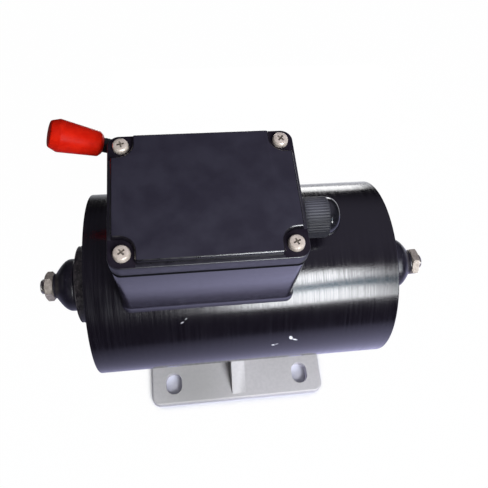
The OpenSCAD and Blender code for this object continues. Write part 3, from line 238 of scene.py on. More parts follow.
# %% Rubber and plastic finishes
surface("rubber_black", ((0.007, 0.006, 0.011), (0.014, 0.012, 0.020)), (0.28, 0.40), 0.0016, 0.00002,
        Specular_IOR_Level=0.4)
add_specks(FINISHES["rubber_black"], 0.0009, 0.27, (0.16, 0.16, 0.18))
surface("gasket_black", ((0.002, 0.002, 0.003), (0.004, 0.004, 0.005)), (0.70, 0.85), 0.001, 0.00002,
        Specular_IOR_Level=0.08)
surface("gland_black", ((0.010, 0.010, 0.013), (0.018, 0.018, 0.022)), (0.40, 0.52), 0.0008, 0.00001,
        Specular_IOR_Level=0.2)
# Painted light: a paler patch on the top of the gland nut, lit as from above.
add_painted_lighting(FINISHES["gland_black"], (0.029, 0.003, 0.1325), 0.012, (0.105, 0.105, 0.125), 0.9)
surface("gland_gloss", ((0.006, 0.006, 0.008), (0.010, 0.010, 0.013)), (0.08, 0.14), 0.0012, 0.000003,
        Specular_IOR_Level=0.9)
surface("grip_red", ((0.42, 0.007, 0.002), (0.50, 0.011, 0.003)), (0.30, 0.42), 0.003, 0.00001,
        Specular_IOR_Level=0.04)
add_waviness(FINISHES["grip_red"], 0.007, 0.00008)
surface("hub_black", ((0.008, 0.008, 0.009), (0.016, 0.016, 0.017)), (0.30, 0.42), 0.001, 0.00001,
        metallic=0.3)
surface("block_cream", ((0.72, 0.69, 0.60), (0.78, 0.76, 0.67)), (0.42, 0.52), 0.002, 0.00001)
surface("switch_plastic", ((0.016, 0.016, 0.019), (0.024, 0.024, 0.028)), (0.38, 0.50), 0.0012, 0.00001)
surface("switch_cam", ((0.62, 0.58, 0.46), (0.70, 0.66, 0.54)), (0.38, 0.48), 0.002, 0.00001)
surface("lead_red", ((0.42, 0.012, 0.008), (0.52, 0.02, 0.012)), (0.30, 0.40), 0.002, 0.00001)
surface("lead_blue", ((0.012, 0.03, 0.28), (0.018, 0.045, 0.36)), (0.30, 0.40), 0.002, 0.00001)
print(len(FINISHES), "finishes so far")

# %% [markdown]
# The inside: polished bearing steel, pressed brass, a spring washer, the stacked sheets of the stator and
# rotor, enamelled copper wire and the cast aluminium cage. The sheets are noise squeezed along the shaft,
# and the copper is stretched the same way as its strands run.

# %% Inside finishes
surface("bearing_steel", ((0.62, 0.63, 0.65), (0.70, 0.71, 0.73)), (0.10, 0.18), 0.001, 0.000002,
        metallic=1.0, stretch=(1, 0.1, 0.1))
surface("ball_cage_brass", ((0.56, 0.38, 0.12), (0.66, 0.48, 0.18)), (0.24, 0.34), 0.001, 0.00001,
        metallic=1.0)
surface("spring_steel", ((0.30, 0.30, 0.32), (0.38, 0.38, 0.41)), (0.24, 0.34), 0.001, 0.00001,
        metallic=1.0)
surface("lamination", ((0.16, 0.17, 0.19), (0.34, 0.35, 0.38)), (0.34, 0.52), 0.0005, 0.00005, metallic=1.0,
        stretch=(1, 0.01, 0.01), detail=1.0)
surface("copper", ((0.42, 0.12, 0.035), (0.62, 0.24, 0.08)), (0.20, 0.32), 0.0009, 0.0002, metallic=1.0,
        stretch=(0.06, 1, 1), detail=1.0)
surface("rotor_bars", ((0.60, 0.61, 0.62), (0.70, 0.71, 0.72)), (0.34, 0.48), 0.001, 0.00002, metallic=1.0)
surface("terminal_brass", ((0.62, 0.44, 0.14), (0.72, 0.54, 0.20)), (0.22, 0.34), 0.001, 0.00001,
        metallic=1.0)
print(len(FINISHES), "finishes in all")

# %% [markdown]
# Every CAD node already names the finish it was packed with. Where its shape is right it stays, and only
# its material changes, so each node's slot is given the finish of the same name.

# %% Finishes for the CAD nodes
for name, node in nodes.items():
    for slot in node.material_slots:
        slot_name = slot.material.name.split(".")[0]
        slot.material = FINISHES[slot_name]
print("finished", len(nodes), "CAD nodes")

# %% [markdown]
# Most finishes carry the name of one of the part's own materials. Three are only a look of another one:
# the glossy edge of the painted lid, bare metal in a chip, and the worn coat of a bearing cap.

# %% [markdown]
# New pieces are turned, extruded and bevelled in small meshes, and a few helpers do the shared work. One
# spins a half section round Z, as a lathe does. One rounds every sharp edge, because an edge without a
# radius catches no light. One moves a small mesh into a larger one. The last welds the mesh, points its
# faces outwards, and hands it to the frame. Measures are written in millimetres and times MM.

# %% Helpers for turned and rounded pieces
def spun(section, steps=96, closed=False):
    bm = bmesh.new()
    ring = [bm.verts.new((radius * MM, 0, height * MM)) for radius, height in section]
    pairs = list(zip(ring, ring[1:])) + ([(ring[-1], ring[0])] if closed else [])
    edges = [bm.edges.new(pair) for pair in pairs]
    bmesh.ops.spin(bm, geom=ring + edges, cent=(0, 0, 0), axis=(0, 0, 1), dvec=(0, 0, 0),
                   angle=math.tau, steps=steps, use_merge=True)
    bmesh.ops.remove_doubles(bm, verts=bm.verts, dist=0.001 * MM)
    bmesh.ops.recalc_face_normals(bm, faces=bm.faces)
    return bm


def rounded(bm, width, segments=3, above=35, chosen=None, outside_only=False):
    edges = [e for e in bm.edges if len(e.link_faces) == 2 and e.calc_face_angle(0) > math.radians(above)]
    if outside_only:
        edges = [e for e in edges if e.is_convex]
    if chosen:
        edges = [e for e in edges if chosen((e.verts[0].co + e.verts[1].co) / 2)]
    bmesh.ops.bevel(bm, geom=edges, offset=width * MM, offset_type="OFFSET", segments=segments,
                    profile=0.5, affect="EDGES", clamp_overlap=True, material=-1)
    return bm


def added(target, source):
    mesh = bpy.data.meshes.new("part")
    source.to_mesh(mesh)
    source.free()
    target.from_mesh(mesh)
    bpy.data.meshes.remove(mesh)


def finished(bm, name, finish, body, stands_for=(), place=Matrix.Identity(4), sharp=40, even=False):
    bmesh.ops.transform(bm, matrix=place, verts=bm.verts)
    bmesh.ops.remove_doubles(bm, verts=bm.verts, dist=0.0005 * MM)
    bmesh.ops.recalc_face_normals(bm, faces=bm.faces)
    mesh = bpy.data.meshes.new(name)
    bm.to_mesh(mesh)
    bm.free()
    mesh.shade_smooth()
    mesh.set_sharp_from_angle(angle=math.radians(sharp))
    mesh.materials.append(FINISHES[finish])
    piece = bpy.data.objects.new(name, mesh)
    scene.collection.objects.link(piece)
    if even:
        piece.modifiers.new("even_normals", "WEIGHTED_NORMAL").keep_sharp = True
    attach(piece, body)
    if stands_for:
        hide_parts(*stands_for)
    size = [round(side * 1000, 1) for side in piece.dimensions]
    print(name, size, "mm,", len(mesh.polygons), "faces")
    return piece


def pointing(point, direction):
    return Matrix.Translation(point) @ Vector(direction).to_track_quat("Z", "Y").to_matrix().to_4x4()

# %% [markdown]
# Several parts already have the right form in the CAD model and only lack the small radius that casting,
# stamping or wear gives an edge. Each one's mesh is copied, its loose triangles are welded and merged into
# flat faces, and only the sharp edges that are meant to be soft are rounded. Weighted normals keep the
# large faces flat beside their new round edges. The bearing caps are also turned down a little, as worn
# caps are.

# %% Parts with softened edges
def softened(node, width, finish, body, segments=4, above=35, chosen=None):
    bm = bmesh.new()
    bm.from_mesh(nodes[node].data)
    bmesh.ops.remove_doubles(bm, verts=bm.verts, dist=0.002 * MM)
    bmesh.ops.dissolve_limit(bm, angle_limit=math.radians(0.5), verts=bm.verts, edges=bm.edges)
    rounded(bm, width, segments=segments, above=above, chosen=chosen, outside_only=True)
    loose = sum(1 for e in bm.edges if len(e.link_faces) != 2)
    print(node, "has", loose, "open edges")
    return finished(bm, node + "_softened", finish, body, [node], sharp=24, even=True)


cap_low, cap_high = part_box("left_bearing_cap")
cap_radius = (cap_high.y - cap_low.y) / 2
shaft_low, shaft_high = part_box("shaft")
axis_height = (shaft_low.z + shaft_high.z) / 2
cap_edge, cap_trim = 0.8, 0.8 * MM
for node in ("left_bearing_cap", "right_bearing_cap"):
    cap = softened(node, cap_edge, "cap_worn", "housing",
                   chosen=lambda middle: math.hypot(middle.y, middle.z - axis_height) > cap_radius - 0.3 * MM)
    for vert in cap.data.vertices:
        reach = math.hypot(vert.co.y, vert.co.z - axis_height)
        if reach > cap_radius - 1.0 * MM:
            vert.co.y *= 1 - cap_trim / reach
            vert.co.z = axis_height + (vert.co.z - axis_height) * (1 - cap_trim / reach)
softened("foot_bracket", 0.5, "foot_cast", "housing", above=60)
softened("gland_body", 0.35, "gland_black", "housing", above=50)
softened("lever_hub", 0.5, "hub_black", "lever", above=50)

# %% [markdown]
# The housing tube is drawn aluminium. Its rims are turned with a small round edge, and inside each rim a
# shallow rebate takes the end cover. The half section is spun round the shaft's axis.

# %% Housing tube
tube_low, tube_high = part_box("housing_tube")
cover_low, cover_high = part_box("left_end_cover")
tube_radius = (tube_high.y - tube_low.y) / 2 / MM
half_tube = (tube_high.x - tube_low.x) / 2 / MM
rebate_radius = (cover_high.y - cover_low.y) / 2 / MM + 0.05
tube_wall, rebate_depth = 4, 8
bore_radius = tube_radius - tube_wall
tube_bm = spun([
    (bore_radius, -half_tube + rebate_depth), (rebate_radius, -half_tube + rebate_depth),
    (rebate_radius, -half_tube), (tube_radius, -half_tube), (tube_radius, half_tube),
    (rebate_radius, half_tube), (rebate_radius, half_tube - rebate_depth),
    (bore_radius, half_tube - rebate_depth),
], steps=160, closed=True)
rounded(tube_bm, 0.8, segments=4)
along_shaft = pointing((0, 0, axis_height), (1, 0, 0))
finished(tube_bm, "housing_tube_shell", "housing_black", "housing", ["housing_tube"], along_shaft)

# %% [markdown]
# A few chips in the black coat let bare metal show. Each is a flattened ball, sunk almost whole into the
# tube. Its row gives the distance along the shaft, the angle above the horizontal, the half length and
# half width in millimetres, and its turn in degrees. A slow wave along the shaft makes them less regular.

# %% Chips in the coat
chips_bm = bmesh.new()
chip_depth = 0.06
chip_list = [(20.6, 23.6, 0.8, 1.3, 20), (22.6, 21.6, 1.3, 0.45, -24), (12.4, 17.8, 0.8, 0.5, 10),
             (14.0, 18.4, 0.9, 0.2, 24), (-29.3, 41.9, 0.8, 0.20, 30), (-27.6, 44.0, 0.6, 0.12, 40)]
for chip_x, chip_angle, chip_length, chip_width, chip_turn in chip_list:
    angle = math.radians(chip_angle)
    outward = Vector((0, -math.cos(angle), math.sin(angle)))
    place = Vector((chip_x * MM, 0, axis_height)) + outward * (tube_radius - 0.02) * MM
    flat = Matrix.Diagonal((chip_length * MM, chip_width * MM, chip_depth * MM, 1))
    spot = pointing(place, outward) @ Matrix.Rotation(math.radians(chip_turn), 4, "Z") @ flat
    bmesh.ops.create_icosphere(chips_bm, subdivisions=3, radius=1.0, matrix=spot)
for vert in chips_bm.verts:
    vert.co.x += 0.12 * MM * math.sin(vert.co.y / MM * 7.0 + vert.co.z / MM * 5.0)
finished(chips_bm, "coat_chips", "bare_chip", "housing")

# %% [markdown]
# The terminal box sits on the curved tube, so the lower edge of its walls follows a circle. The outline
# is a flat face whose corners are rounded first. It is extruded upwards, inset for the wall and extruded
# back down for the hollow, and then every low vertex moves to the height of the circle under it.

# %% A helper for flat outlines with rounded corners
def outline(corners):
    bm = bmesh.new()
    bm.faces.new([bm.verts.new((x * MM, y * MM, 0)) for x, y, radius in corners])
    for radius in sorted({radius for x, y, radius in corners if radius}):
        marked = [(x * MM, y * MM) for x, y, r in corners if r == radius]
        bm.verts.ensure_lookup_table()
        verts = [v for v in bm.verts if any(math.hypot(v.co.x - x, v.co.y - y) < 1e-7 for x, y in marked)]
        bmesh.ops.bevel(bm, geom=verts, offset=radius * MM, offset_type="OFFSET",
                        segments=max(3, round(radius * 2.5)), profile=0.5, affect="VERTICES",
                        clamp_overlap=False, material=-1)
    return bm


def raised(bm, bottom, top):
    bmesh.ops.translate(bm, vec=(0, 0, bottom * MM), verts=bm.verts)
    grown = bmesh.ops.extrude_face_region(bm, geom=bm.faces[:])["geom"]
    lifted = [item for item in grown if isinstance(item, bmesh.types.BMVert)]
    bmesh.ops.translate(bm, vec=(0, 0, (top - bottom) * MM), verts=lifted)
    bmesh.ops.recalc_face_normals(bm, faces=bm.faces)
    return bm


def sliced(bm, level, direction):
    bmesh.ops.bisect_plane(bm, geom=bm.verts[:] + bm.edges[:] + bm.faces[:],
                           plane_co=[share * level * MM for share in direction], plane_no=direction,
                           dist=1e-7)

# %% [markdown]
# The walls come first. The block is sliced into strips along the shaft, so that its lower edge has enough
# points to follow the tube. The top is inset by the wall's thickness, and the hollow is extruded down to a
# floor that runs parallel to the tube.

# %% Terminal box walls
base_low, base_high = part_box("terminal_box_base")
box_middle = (base_low.x + base_high.x) / 2
half_long = (base_high.x - base_low.x) / 2 / MM
half_wide = (base_high.y - base_low.y) / 2 / MM
rim_height = (base_high.z - axis_height) / MM
wall, corner, saddle_gap, strips = 2.8, 3.6, 0.6, 16
saddle_radius = tube_radius + saddle_gap
box_bm = outline([(half_long, half_wide, corner), (-half_long, half_wide, corner),
                  (-half_long, -half_wide, corner), (half_long, -half_wide, corner)])
raised(box_bm, 0, rim_height)
for strip in range(1, strips):
    sliced(box_bm, -half_wide + strip * 2 * half_wide / strips, (0, 1, 0))
top_faces = [f for f in box_bm.faces if f.normal.z > 0.9]
bmesh.ops.inset_region(box_bm, faces=top_faces, thickness=wall * MM, use_even_offset=True)
hollow = [f for f in box_bm.faces if f.normal.z > 0.9 and all(
    abs(v.co.x) < (half_long - 0.5 * wall) * MM and abs(v.co.y) < (half_wide - 0.5 * wall) * MM
    for v in f.verts)]
sunk = bmesh.ops.extrude_face_region(box_bm, geom=hollow)["geom"]
bmesh.ops.delete(box_bm, geom=[f for f in hollow if f.is_valid], context="FACES")
floor_verts = [item for item in sunk if isinstance(item, bmesh.types.BMVert)]
for vert in floor_verts:
    vert.co.z = math.sqrt(((saddle_radius + wall) * MM) ** 2 - vert.co.y ** 2)
for vert in box_bm.verts:
    if abs(vert.co.z) < 0.01 * MM:
        vert.co.z = math.sqrt((saddle_radius * MM) ** 2 - vert.co.y ** 2)
bmesh.ops.recalc_face_normals(box_bm, faces=box_bm.faces)
print("box walls", wall, "mm thick,", len(box_bm.faces), "faces")

# %% [markdown]
# A cast box spreads a little where it meets the tube, which gives it a thin bright line along its foot.
# The walls are sliced at a few heights near the foot, and each outer point there moves outwards, more and
# more towards the tube. The rim is rounded before that and the foot after it.

# %% Rounded rim and flared foot
rim_round, foot_round = 1.5, 0.3
flare, flare_height = 0.8, 3.5
foot_level = math.sqrt(saddle_radius ** 2 - half_wide ** 2)
rounded(box_bm, rim_round, segments=4, above=50, chosen=lambda middle: middle.z > (rim_height - 1) * MM)
for share in (0.25, 0.5, 0.75, 1.0, 3.0, 6.0):
    sliced(box_bm, foot_level + share * flare_height, (0, 0, 1))
for vert in box_bm.verts:
    outside = abs(vert.co.x) > (half_long - 0.5 * wall) * MM or abs(vert.co.y) > (half_wide - 0.5 * wall) * MM
    above_tube = vert.co.z / MM - math.sqrt(max(0, saddle_radius ** 2 - (vert.co.y / MM) ** 2))
    if outside and above_tube < flare_height:
        spread = flare * (1 - above_tube / flare_height) ** 2 * MM
        vert.co.x += spread * max(-1, min(1, vert.co.x / MM / (half_long - corner)))
        vert.co.y += spread * max(-1, min(1, vert.co.y / MM / (half_wide - corner)))
rounded(box_bm, foot_round, segments=2, above=50, chosen=lambda middle: middle.z < (rim_height - 5) * MM)
print("box foot spreads", flare, "mm")

# %% [markdown]
# The box's back wall is drilled for the lever's bushing and its right wall for the gland's thread, so that
# both pass through a real hole. A Boolean modifier cuts the holes, and its result is read back as a mesh,
# which leaves no cutter behind in the scene.

# %% A helper that drills holes
def plain_object(name, bm):
    mesh = bpy.data.meshes.new(name)
    bm.to_mesh(mesh)
    bm.free()
    item = bpy.data.objects.new(name, mesh)
    scene.collection.objects.link(item)
    return item


def drilled(bm, holes):
    drill_bm = bmesh.new()
    for middle, direction, radius, depth in holes:
        bmesh.ops.create_cone(drill_bm, cap_ends=True, segments=48, radius1=radius * MM, radius2=radius * MM,
                              depth=depth * MM, matrix=pointing(middle, direction))
    blank, drill = plain_object("blank", bm), plain_object("drill", drill_bm)
    cut = blank.modifiers.new("holes", "BOOLEAN")
    cut.operation = "DIFFERENCE"
    cut.solver = "EXACT"
    cut.object = drill
    bpy.context.view_layer.update()
    result = bmesh.new()
    result.from_mesh(blank.evaluated_get(bpy.context.evaluated_depsgraph_get()).data)
    for part in (blank, drill):
        mesh = part.data
        bpy.data.objects.remove(part)
        bpy.data.meshes.remove(mesh)
    return result

# %% [markdown]
# The bushing sits on the lever's line and the gland on its own. The rounded rim under the lid gets the
# gasket's dull black as painted shade, so that the seam between box and lid stays a dark line.

# %% Terminal box holes and seam
lever_low, lever_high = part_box("lever_shaft")
gland_low, gland_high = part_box("gland_nut")
lever_height = (lever_low.z + lever_high.z) / 2 - axis_height
gland_height = (gland_low.z + gland_high.z) / 2 - axis_height
lever_along = (lever_low.x + lever_high.x) / 2 - box_middle
bushing_hole, gland_hole, hole_depth = 5.1, 6.1, 3 * wall
box_bm = drilled(box_bm, [
    ((lever_along, base_high.y - wall / 2 * MM, lever_height), (0, 1, 0), bushing_hole, hole_depth),
    ((base_high.x - box_middle - wall / 2 * MM, 0, gland_height), (1, 0, 0), gland_hole, hole_depth)])
print("box has", sum(len(e.link_faces) != 2 for e in box_bm.edges), "open edges")
# Painted shade: the rim's upper faces take the gasket's dull black to darken the seam.
for face in box_bm.faces:
    if face.normal.z > 0.06 and face.calc_center_median().z > (rim_height - 1.6) * MM:
        face.material_index = 1
box_place = Matrix.Translation((box_middle, 0, axis_height))
shell = finished(box_bm, "terminal_box_shell", "box_black", "housing", ["terminal_box_base"], box_place)
shell.data.materials.append(FINISHES["gasket_black"])

# %% [markdown]
# The lid is a low slab with a raised field on it. The slab is an outline raised to the level of the screw
# seats, with soft edges. It is sliced along the lines where the field will stand, so that its narrow ledge
# can have another finish than the seats of the screws.

# %% Lid slab
lid_low, lid_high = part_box("terminal_box_lid")
screw_low, screw_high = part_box("lid_screws")
lid_long = (lid_high.x - lid_low.x) / 2 / MM
lid_wide = (lid_high.y - lid_low.y) / 2 / MM
lid_bottom = (lid_low.z - axis_height) / MM
lid_top = (lid_high.z - axis_height) / MM
lid_corner, screw_head, head_height = 4.8, 3.5, 2.5
step_height = (screw_high.z - axis_height) / MM - head_height
setback, notch_round, notch_gap = 1.5, 5.9, 1.2
field_long, field_wide = lid_long - setback, lid_wide - setback
notch_long = (screw_high.x - screw_low.x) / 2 / MM - screw_head + notch_gap - notch_round
notch_wide = (screw_high.y - screw_low.y) / 2 / MM - screw_head - notch_round
slab_bm = outline([(lid_long, lid_wide, lid_corner), (-lid_long, lid_wide, lid_corner),
                   (-lid_long, -lid_wide, lid_corner), (lid_long, -lid_wide, lid_corner)])
raised(slab_bm, lid_bottom, step_height)
rounded(slab_bm, 0.5, segments=4, above=50, chosen=lambda middle: middle.z > (step_height - 0.1) * MM)
rounded(slab_bm, 0.8, segments=3, above=50, chosen=lambda middle: middle.z < (lid_bottom + 0.1) * MM)
for level, direction in ((field_wide, (0, 1, 0)), (notch_wide, (0, 1, 0)),
                         (field_long, (1, 0, 0)), (notch_long, (1, 0, 0))):
    for side in (-1, 1):
        sliced(slab_bm, side * level, direction)
slab_faces = len(slab_bm.faces)
print("lid slab", round(2 * lid_long, 1), "x", round(2 * lid_wide, 1), "mm,", slab_faces, "faces")

# %% [markdown]
# The field steps back from all four screws in a recess with a round inner corner, so its outline has
# twelve corners, each with its own radius. Its wide top edge catches the light as one bright line.

# %% Raised field of the lid
field_corner, field_edge, field_foot = 0.9, 1.1, 0.3
field_corners = []
for sx, sy in ((1, 1), (-1, 1), (-1, -1), (1, -1)):
    steps = [(sx * field_long, sy * notch_wide, field_corner),
             (sx * notch_long, sy * notch_wide, notch_round),
             (sx * notch_long, sy * field_wide, field_corner)]
    field_corners += steps if sx * sy > 0 else steps[::-1]
field_bm = outline(field_corners)
raised(field_bm, step_height - field_foot, lid_top)
rounded(field_bm, field_edge, segments=5, above=50, chosen=lambda middle: middle.z > (lid_top - 0.1) * MM)
added(slab_bm, field_bm)
print("lid field has", len(field_corners), "corners")

# %% [markdown]
# One paint looks different on each part of the lid: worn dull on the field, painted darker in the
# recesses as painted shade, and glossier on the edges and the skirt. Each face gets the finish of its place.

# %% Finishes of the lid
FIELD, RECESS, SKIRT = 1, 2, 3
slab_bm.faces.ensure_lookup_table()
for number, face in enumerate(slab_bm.faces):
    x, y = (abs(side) / MM for side in face.calc_center_median().xy)
    on_ledge = (y > field_wide and x < notch_long) or (x > field_long and y < notch_wide)
    if face.normal.z > 0.98:
        face.material_index = (SKIRT if on_ledge else RECESS) if number < slab_faces else FIELD
    elif number < slab_faces:
        face.material_index = RECESS if face.normal.z < -0.12 else SKIRT
cover = finished(slab_bm, "terminal_box_cover", "edge_black", "housing", ["terminal_box_lid"], box_place)
for finish in ("lid_black", "recess_black", "skirt_black"):
    cover.data.materials.append(FINISHES[finish])

# %% [markdown]
# The lid screws are nickel-plated pan heads with a cross recess. The top starts as the cross itself: its
# twelve-cornered outline is joined to the round head with triangle_fill, then extruded, pushed down and
# narrowed for the tapered recess, and the head's edge is extruded down over a rounded shoulder.

# %% A helper for a cross-head screw
HEAD_ROUND = ((0.84, 0.93), (0.95, 0.76), (1.0, 0.5), (1.0, 0.0))


def cross_screw(bm, middle, spin_angle, head_radius, head_height, shank_length):
    head = bmesh.new()
    arm, reach, depth = 0.11 * head_radius, 0.46 * head_radius, 0.17 * head_height
    taper, crown, shank_share = 0.72, 0.62, 0.54
    cross = []
    for quarter in range(4):
        for x, y in ((arm, arm), (arm, reach), (-arm, reach)):
            point = Matrix.Rotation(quarter * math.pi / 2, 3, "Z") @ Vector((x, y, 0))
            cross.append(head.verts.new(point))
    bottom = head.faces.new(cross)
    rim = bmesh.ops.create_circle(head, segments=36, radius=crown * head_radius)["verts"]
    rim_edges = list({e for v in rim for e in v.link_edges})
    bmesh.ops.triangle_fill(head, edges=rim_edges + list(bottom.edges), use_beauty=True, normal=(0, 0, 1))
    bmesh.ops.translate(head, vec=(0, 0, head_height), verts=head.verts)
    bottom = bmesh.ops.extrude_discrete_faces(head, faces=[bottom])["faces"][0]
    bmesh.ops.translate(head, vec=(0, 0, -depth), verts=bottom.verts)
    bmesh.ops.scale(head, vec=(taper, taper, 1), verts=bottom.verts)
    for edge in bottom.edges:
        for face in edge.link_faces:
            face.material_index = 1
    for radius, height in HEAD_ROUND + ((shank_share, 0.0), (shank_share, None)):
        grown = bmesh.ops.extrude_edge_only(head, edges=rim_edges)["geom"]
        rim_edges = [item for item in grown if isinstance(item, bmesh.types.BMEdge)]
        for vert in {v for e in rim_edges for v in e.verts}:
            flat = Vector((vert.co.x, vert.co.y, 0)).normalized() * radius * head_radius
            vert.co = flat + Vector((0, 0, -shank_length if height is None else height * head_height))
    bmesh.ops.contextual_create(head, geom=rim_edges)
    place = Matrix.Translation(middle) @ Matrix.Rotation(math.radians(spin_angle), 4, "Z")
    bmesh.ops.transform(head, matrix=place, verts=head.verts)
    added(bm, head)

# %% [markdown]
# The four screws are one piece, because they are alike and are handled as a set. Each stops at its own
# angle, as hand-driven screws do. The heads are a little smaller than the CAD ones, and their recesses
# are coloured dark brown.

# %% Lid screws
head_trim = 0.3
head_radius = (screw_head - head_trim) * MM
under_head = screw_high.z - head_height * MM
screws_bm = bmesh.new()
for sx, sy, spin_angle in ((-1, -1, 38), (1, -1, 22), (-1, 1, 12), (1, 1, 48)):
    middle = Vector((screw_low.x + screw_head * MM if sx < 0 else screw_high.x - screw_head * MM,
                     screw_low.y + screw_head * MM if sy < 0 else screw_high.y - screw_head * MM, under_head))
    cross_screw(screws_bm, middle, spin_angle, head_radius, head_height * MM, under_head - screw_low.z)
screws = finished(screws_bm, "lid_cross_screws", "nickel_screw", "housing", ["lid_screws"], sharp=32)
screws.data.materials.append(FINISHES["recess_brown"])

# %% [markdown]
# The rubber boots are domes of revolution with a rim bead at the motor's side and a short neck under the
# nut. The section goes up the outside, over the neck, and down the inside. It isn't subdivided again,
# because its points lie close enough for smooth shading.

# %% Rubber boots
dome_foot, dome_start, dome_end, dome_steps = 3.2, 5.4, 13.1, 15
neck_radius, dome_swell = 6.3, 6.9
boot_outside = [(11.2, 0.0), (12.0, 0.3), (12.3, 0.8), (12.2, 1.3), (12.1, 1.7), (12.3, 2.1), (12.8, 2.6),
                (13.1, dome_foot)]
for step in range(1, dome_steps):
    height = dome_foot + (dome_end - dome_foot) * step / dome_steps
    left = min(1, (dome_end - height) / (dome_end - dome_start))
    boot_outside.append((neck_radius + dome_swell * math.sin(math.pi / 2 * left), height))
boot_outside += [(neck_radius, dome_end), (6.2, 13.4), (6.3, 13.9), (5.9, 14.2)]
boot_inside = [(4.1, 14.2), (4.1, 12.4), (5.05, 12.3), (5.05, 0.2), (7.6, 0.2), (7.6, 6.0),
               (8.6, 6.5), (9.6, 6.0), (10.6, 4.6), (10.8, 3.0), (10.0, 0.4)]
for side, name in ((-1, "left_boot"), (1, "right_boot")):
    boot_low, boot_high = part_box(name)
    start = boot_high.x if side < 0 else boot_low.x
    boot_bm = spun(boot_outside + boot_inside, steps=96, closed=True)
    place = pointing((start, 0, axis_height), (side, 0, 0))
    finished(boot_bm, name + "_dome", "rubber_black", "rotor", [name], place, sharp=60)

# %% [markdown]
# The shaft is turned steel, stepped for the core and the bearings, and both of its ends carry a thread.
# A thread is a cylinder with many rings whose radius follows a triangle wave: the wave's phase runs once
# round the rod for each pitch along it, which is what makes it a helix.

# %% A helper for threaded rod
groove_depth, groove_slope, tip_slope = 0.55, 1.25, 1.2


def threaded_rod(length, radius, pitch, tip):
    bm = bmesh.new()
    bmesh.ops.create_cone(bm, cap_ends=True, segments=48, radius1=radius * MM, radius2=radius * MM,
                          depth=length * MM)
    upright = [e for e in bm.edges if abs(e.verts[0].co.z - e.verts[1].co.z) > 0.5 * length * MM]
    bmesh.ops.subdivide_edges(bm, edges=upright, cuts=int(length * 9), use_grid_fill=False)
    bmesh.ops.translate(bm, vec=(0, 0, length / 2 * MM), verts=bm.verts)
    for vert in bm.verts:
        height = vert.co.z / MM
        phase = (height / pitch - math.atan2(vert.co.y, vert.co.x) / math.tau) % 1.0
        groove = groove_depth * min(1.0, groove_slope * abs(2 * phase - 1))
        new_radius = min(radius - groove, radius - tip + tip_slope * (length - height))
        vert.co.xy = vert.co.xy.normalized() * new_radius * MM
    return bm

# %% [markdown]
# The plain part of the shaft is a turned section again. The two rods are made upright like it and moved to
# its ends, and then the whole shaft is laid along its line.

# %% Shaft with threaded ends
half_left, half_right = -shaft_low.x / MM, shaft_high.x / MM
bearing_seat, collar_end = 64.2, 36.0
thread_length, thread_radius, pitch, tip_taper, overlap = 8.5, 3.95, 1.25, 0.9, 0.5
left_neck, right_neck = half_left - thread_length, half_right - thread_length
shaft_bm = spun([(0, -left_neck), (4.9, -left_neck), (5, -left_neck + 0.1), (5, -bearing_seat),
                 (7, -bearing_seat), (7, -collar_end), (8, -collar_end), (8, collar_end),
                 (7, collar_end), (7, bearing_seat), (5, bearing_seat), (5, right_neck - 0.1),
                 (4.9, right_neck), (0, right_neck)], steps=64)
rounded(shaft_bm, 0.2, segments=2, above=50)
for side, neck, tip_at in ((-1, left_neck, half_left), (1, right_neck, half_right)):
    rod_bm = threaded_rod(tip_at - neck + overlap, thread_radius, pitch, tip_taper)
    # The shaft's section is still upright here, so the left rod is only turned over
    turn_over = Matrix.Rotation(math.pi if side < 0 else 0, 4, "X")
    bmesh.ops.transform(rod_bm, matrix=turn_over @ Matrix.Translation((0, 0, (neck - overlap) * MM)),
                        verts=rod_bm.verts)
    added(shaft_bm, rod_bm)
finished(shaft_bm, "turned_shaft", "shaft_steel", "rotor", ["shaft"], along_shaft, sharp=50)

# %% [markdown]
# The gland nut is a moulding with fine ribs for the fingers and a smooth domed end. Its section is spun
# with eight steps to each rib, and then the vertices along the ribs are moved in and out like a cosine
# wave. The dome is glossier than the ribs.

# %% Gland nut
nut_long = (gland_high.x - gland_low.x) / MM
nut_radius = (gland_high.z - gland_low.z) / 2 / MM
ribs, rib_depth, dome = 44, 0.20, 5.4
ribbed = nut_long - dome
gland_section = [(6.1, 0), (nut_radius - 0.4, 0), (nut_radius - 0.1, 0.35)]
gland_section += [(nut_radius - 0.05, 0.35 + (ribbed - 0.9) * step / 6) for step in range(1, 7)]
gland_section += [(nut_radius - 0.1, ribbed - 0.3), (nut_radius - 0.45, ribbed),
                  (nut_radius - 0.5, ribbed + 0.2)]
for lean in range(8, 69, 6):
    turned = math.radians(lean)
    gland_section.append((nut_radius - 5.9 + 5.4 * math.cos(turned), ribbed + 5.65 * math.sin(turned)))
gland_section += [(4.9, nut_long - 0.05), (4.5, nut_long - 0.25), (4.5, nut_long - 1.2),
                  (5.5, nut_long - 1.25), (5.5, ribbed - 3.6), (6.1, ribbed - 3.65)]
gland_bm = spun(gland_section, steps=ribs * 8, closed=True)
for vert in gland_bm.verts:
    radius = math.hypot(vert.co.x, vert.co.y) / MM
    if radius > nut_radius - 0.15 and vert.co.z < (ribbed - 0.25) * MM:
        wave = 0.5 + 0.5 * math.cos(ribs * math.atan2(vert.co.y, vert.co.x))
        vert.co.xy *= (radius - rib_depth * (1 - wave)) / radius
for face in gland_bm.faces:
    if face.calc_center_median().z > (ribbed + 0.15) * MM:
        face.material_index = 1
gland_piece = finished(gland_bm, "gland_ribbed_nut", "gland_black", "housing", ["gland_nut"],
                       pointing((gland_low.x, 0, axis_height + gland_height), (1, 0, 0)), sharp=50)
gland_piece.data.materials.append(FINISHES["gland_gloss"])

# %% [markdown]
# The grip is a tapered red moulding with a bevelled end. It is turned on the lever's own line, which runs
# from the pivot up and to the left. The hub's box gives the pivot, and the arm has a known slope. Edges on
# the inside of the section stay sharp, because nobody sees them.

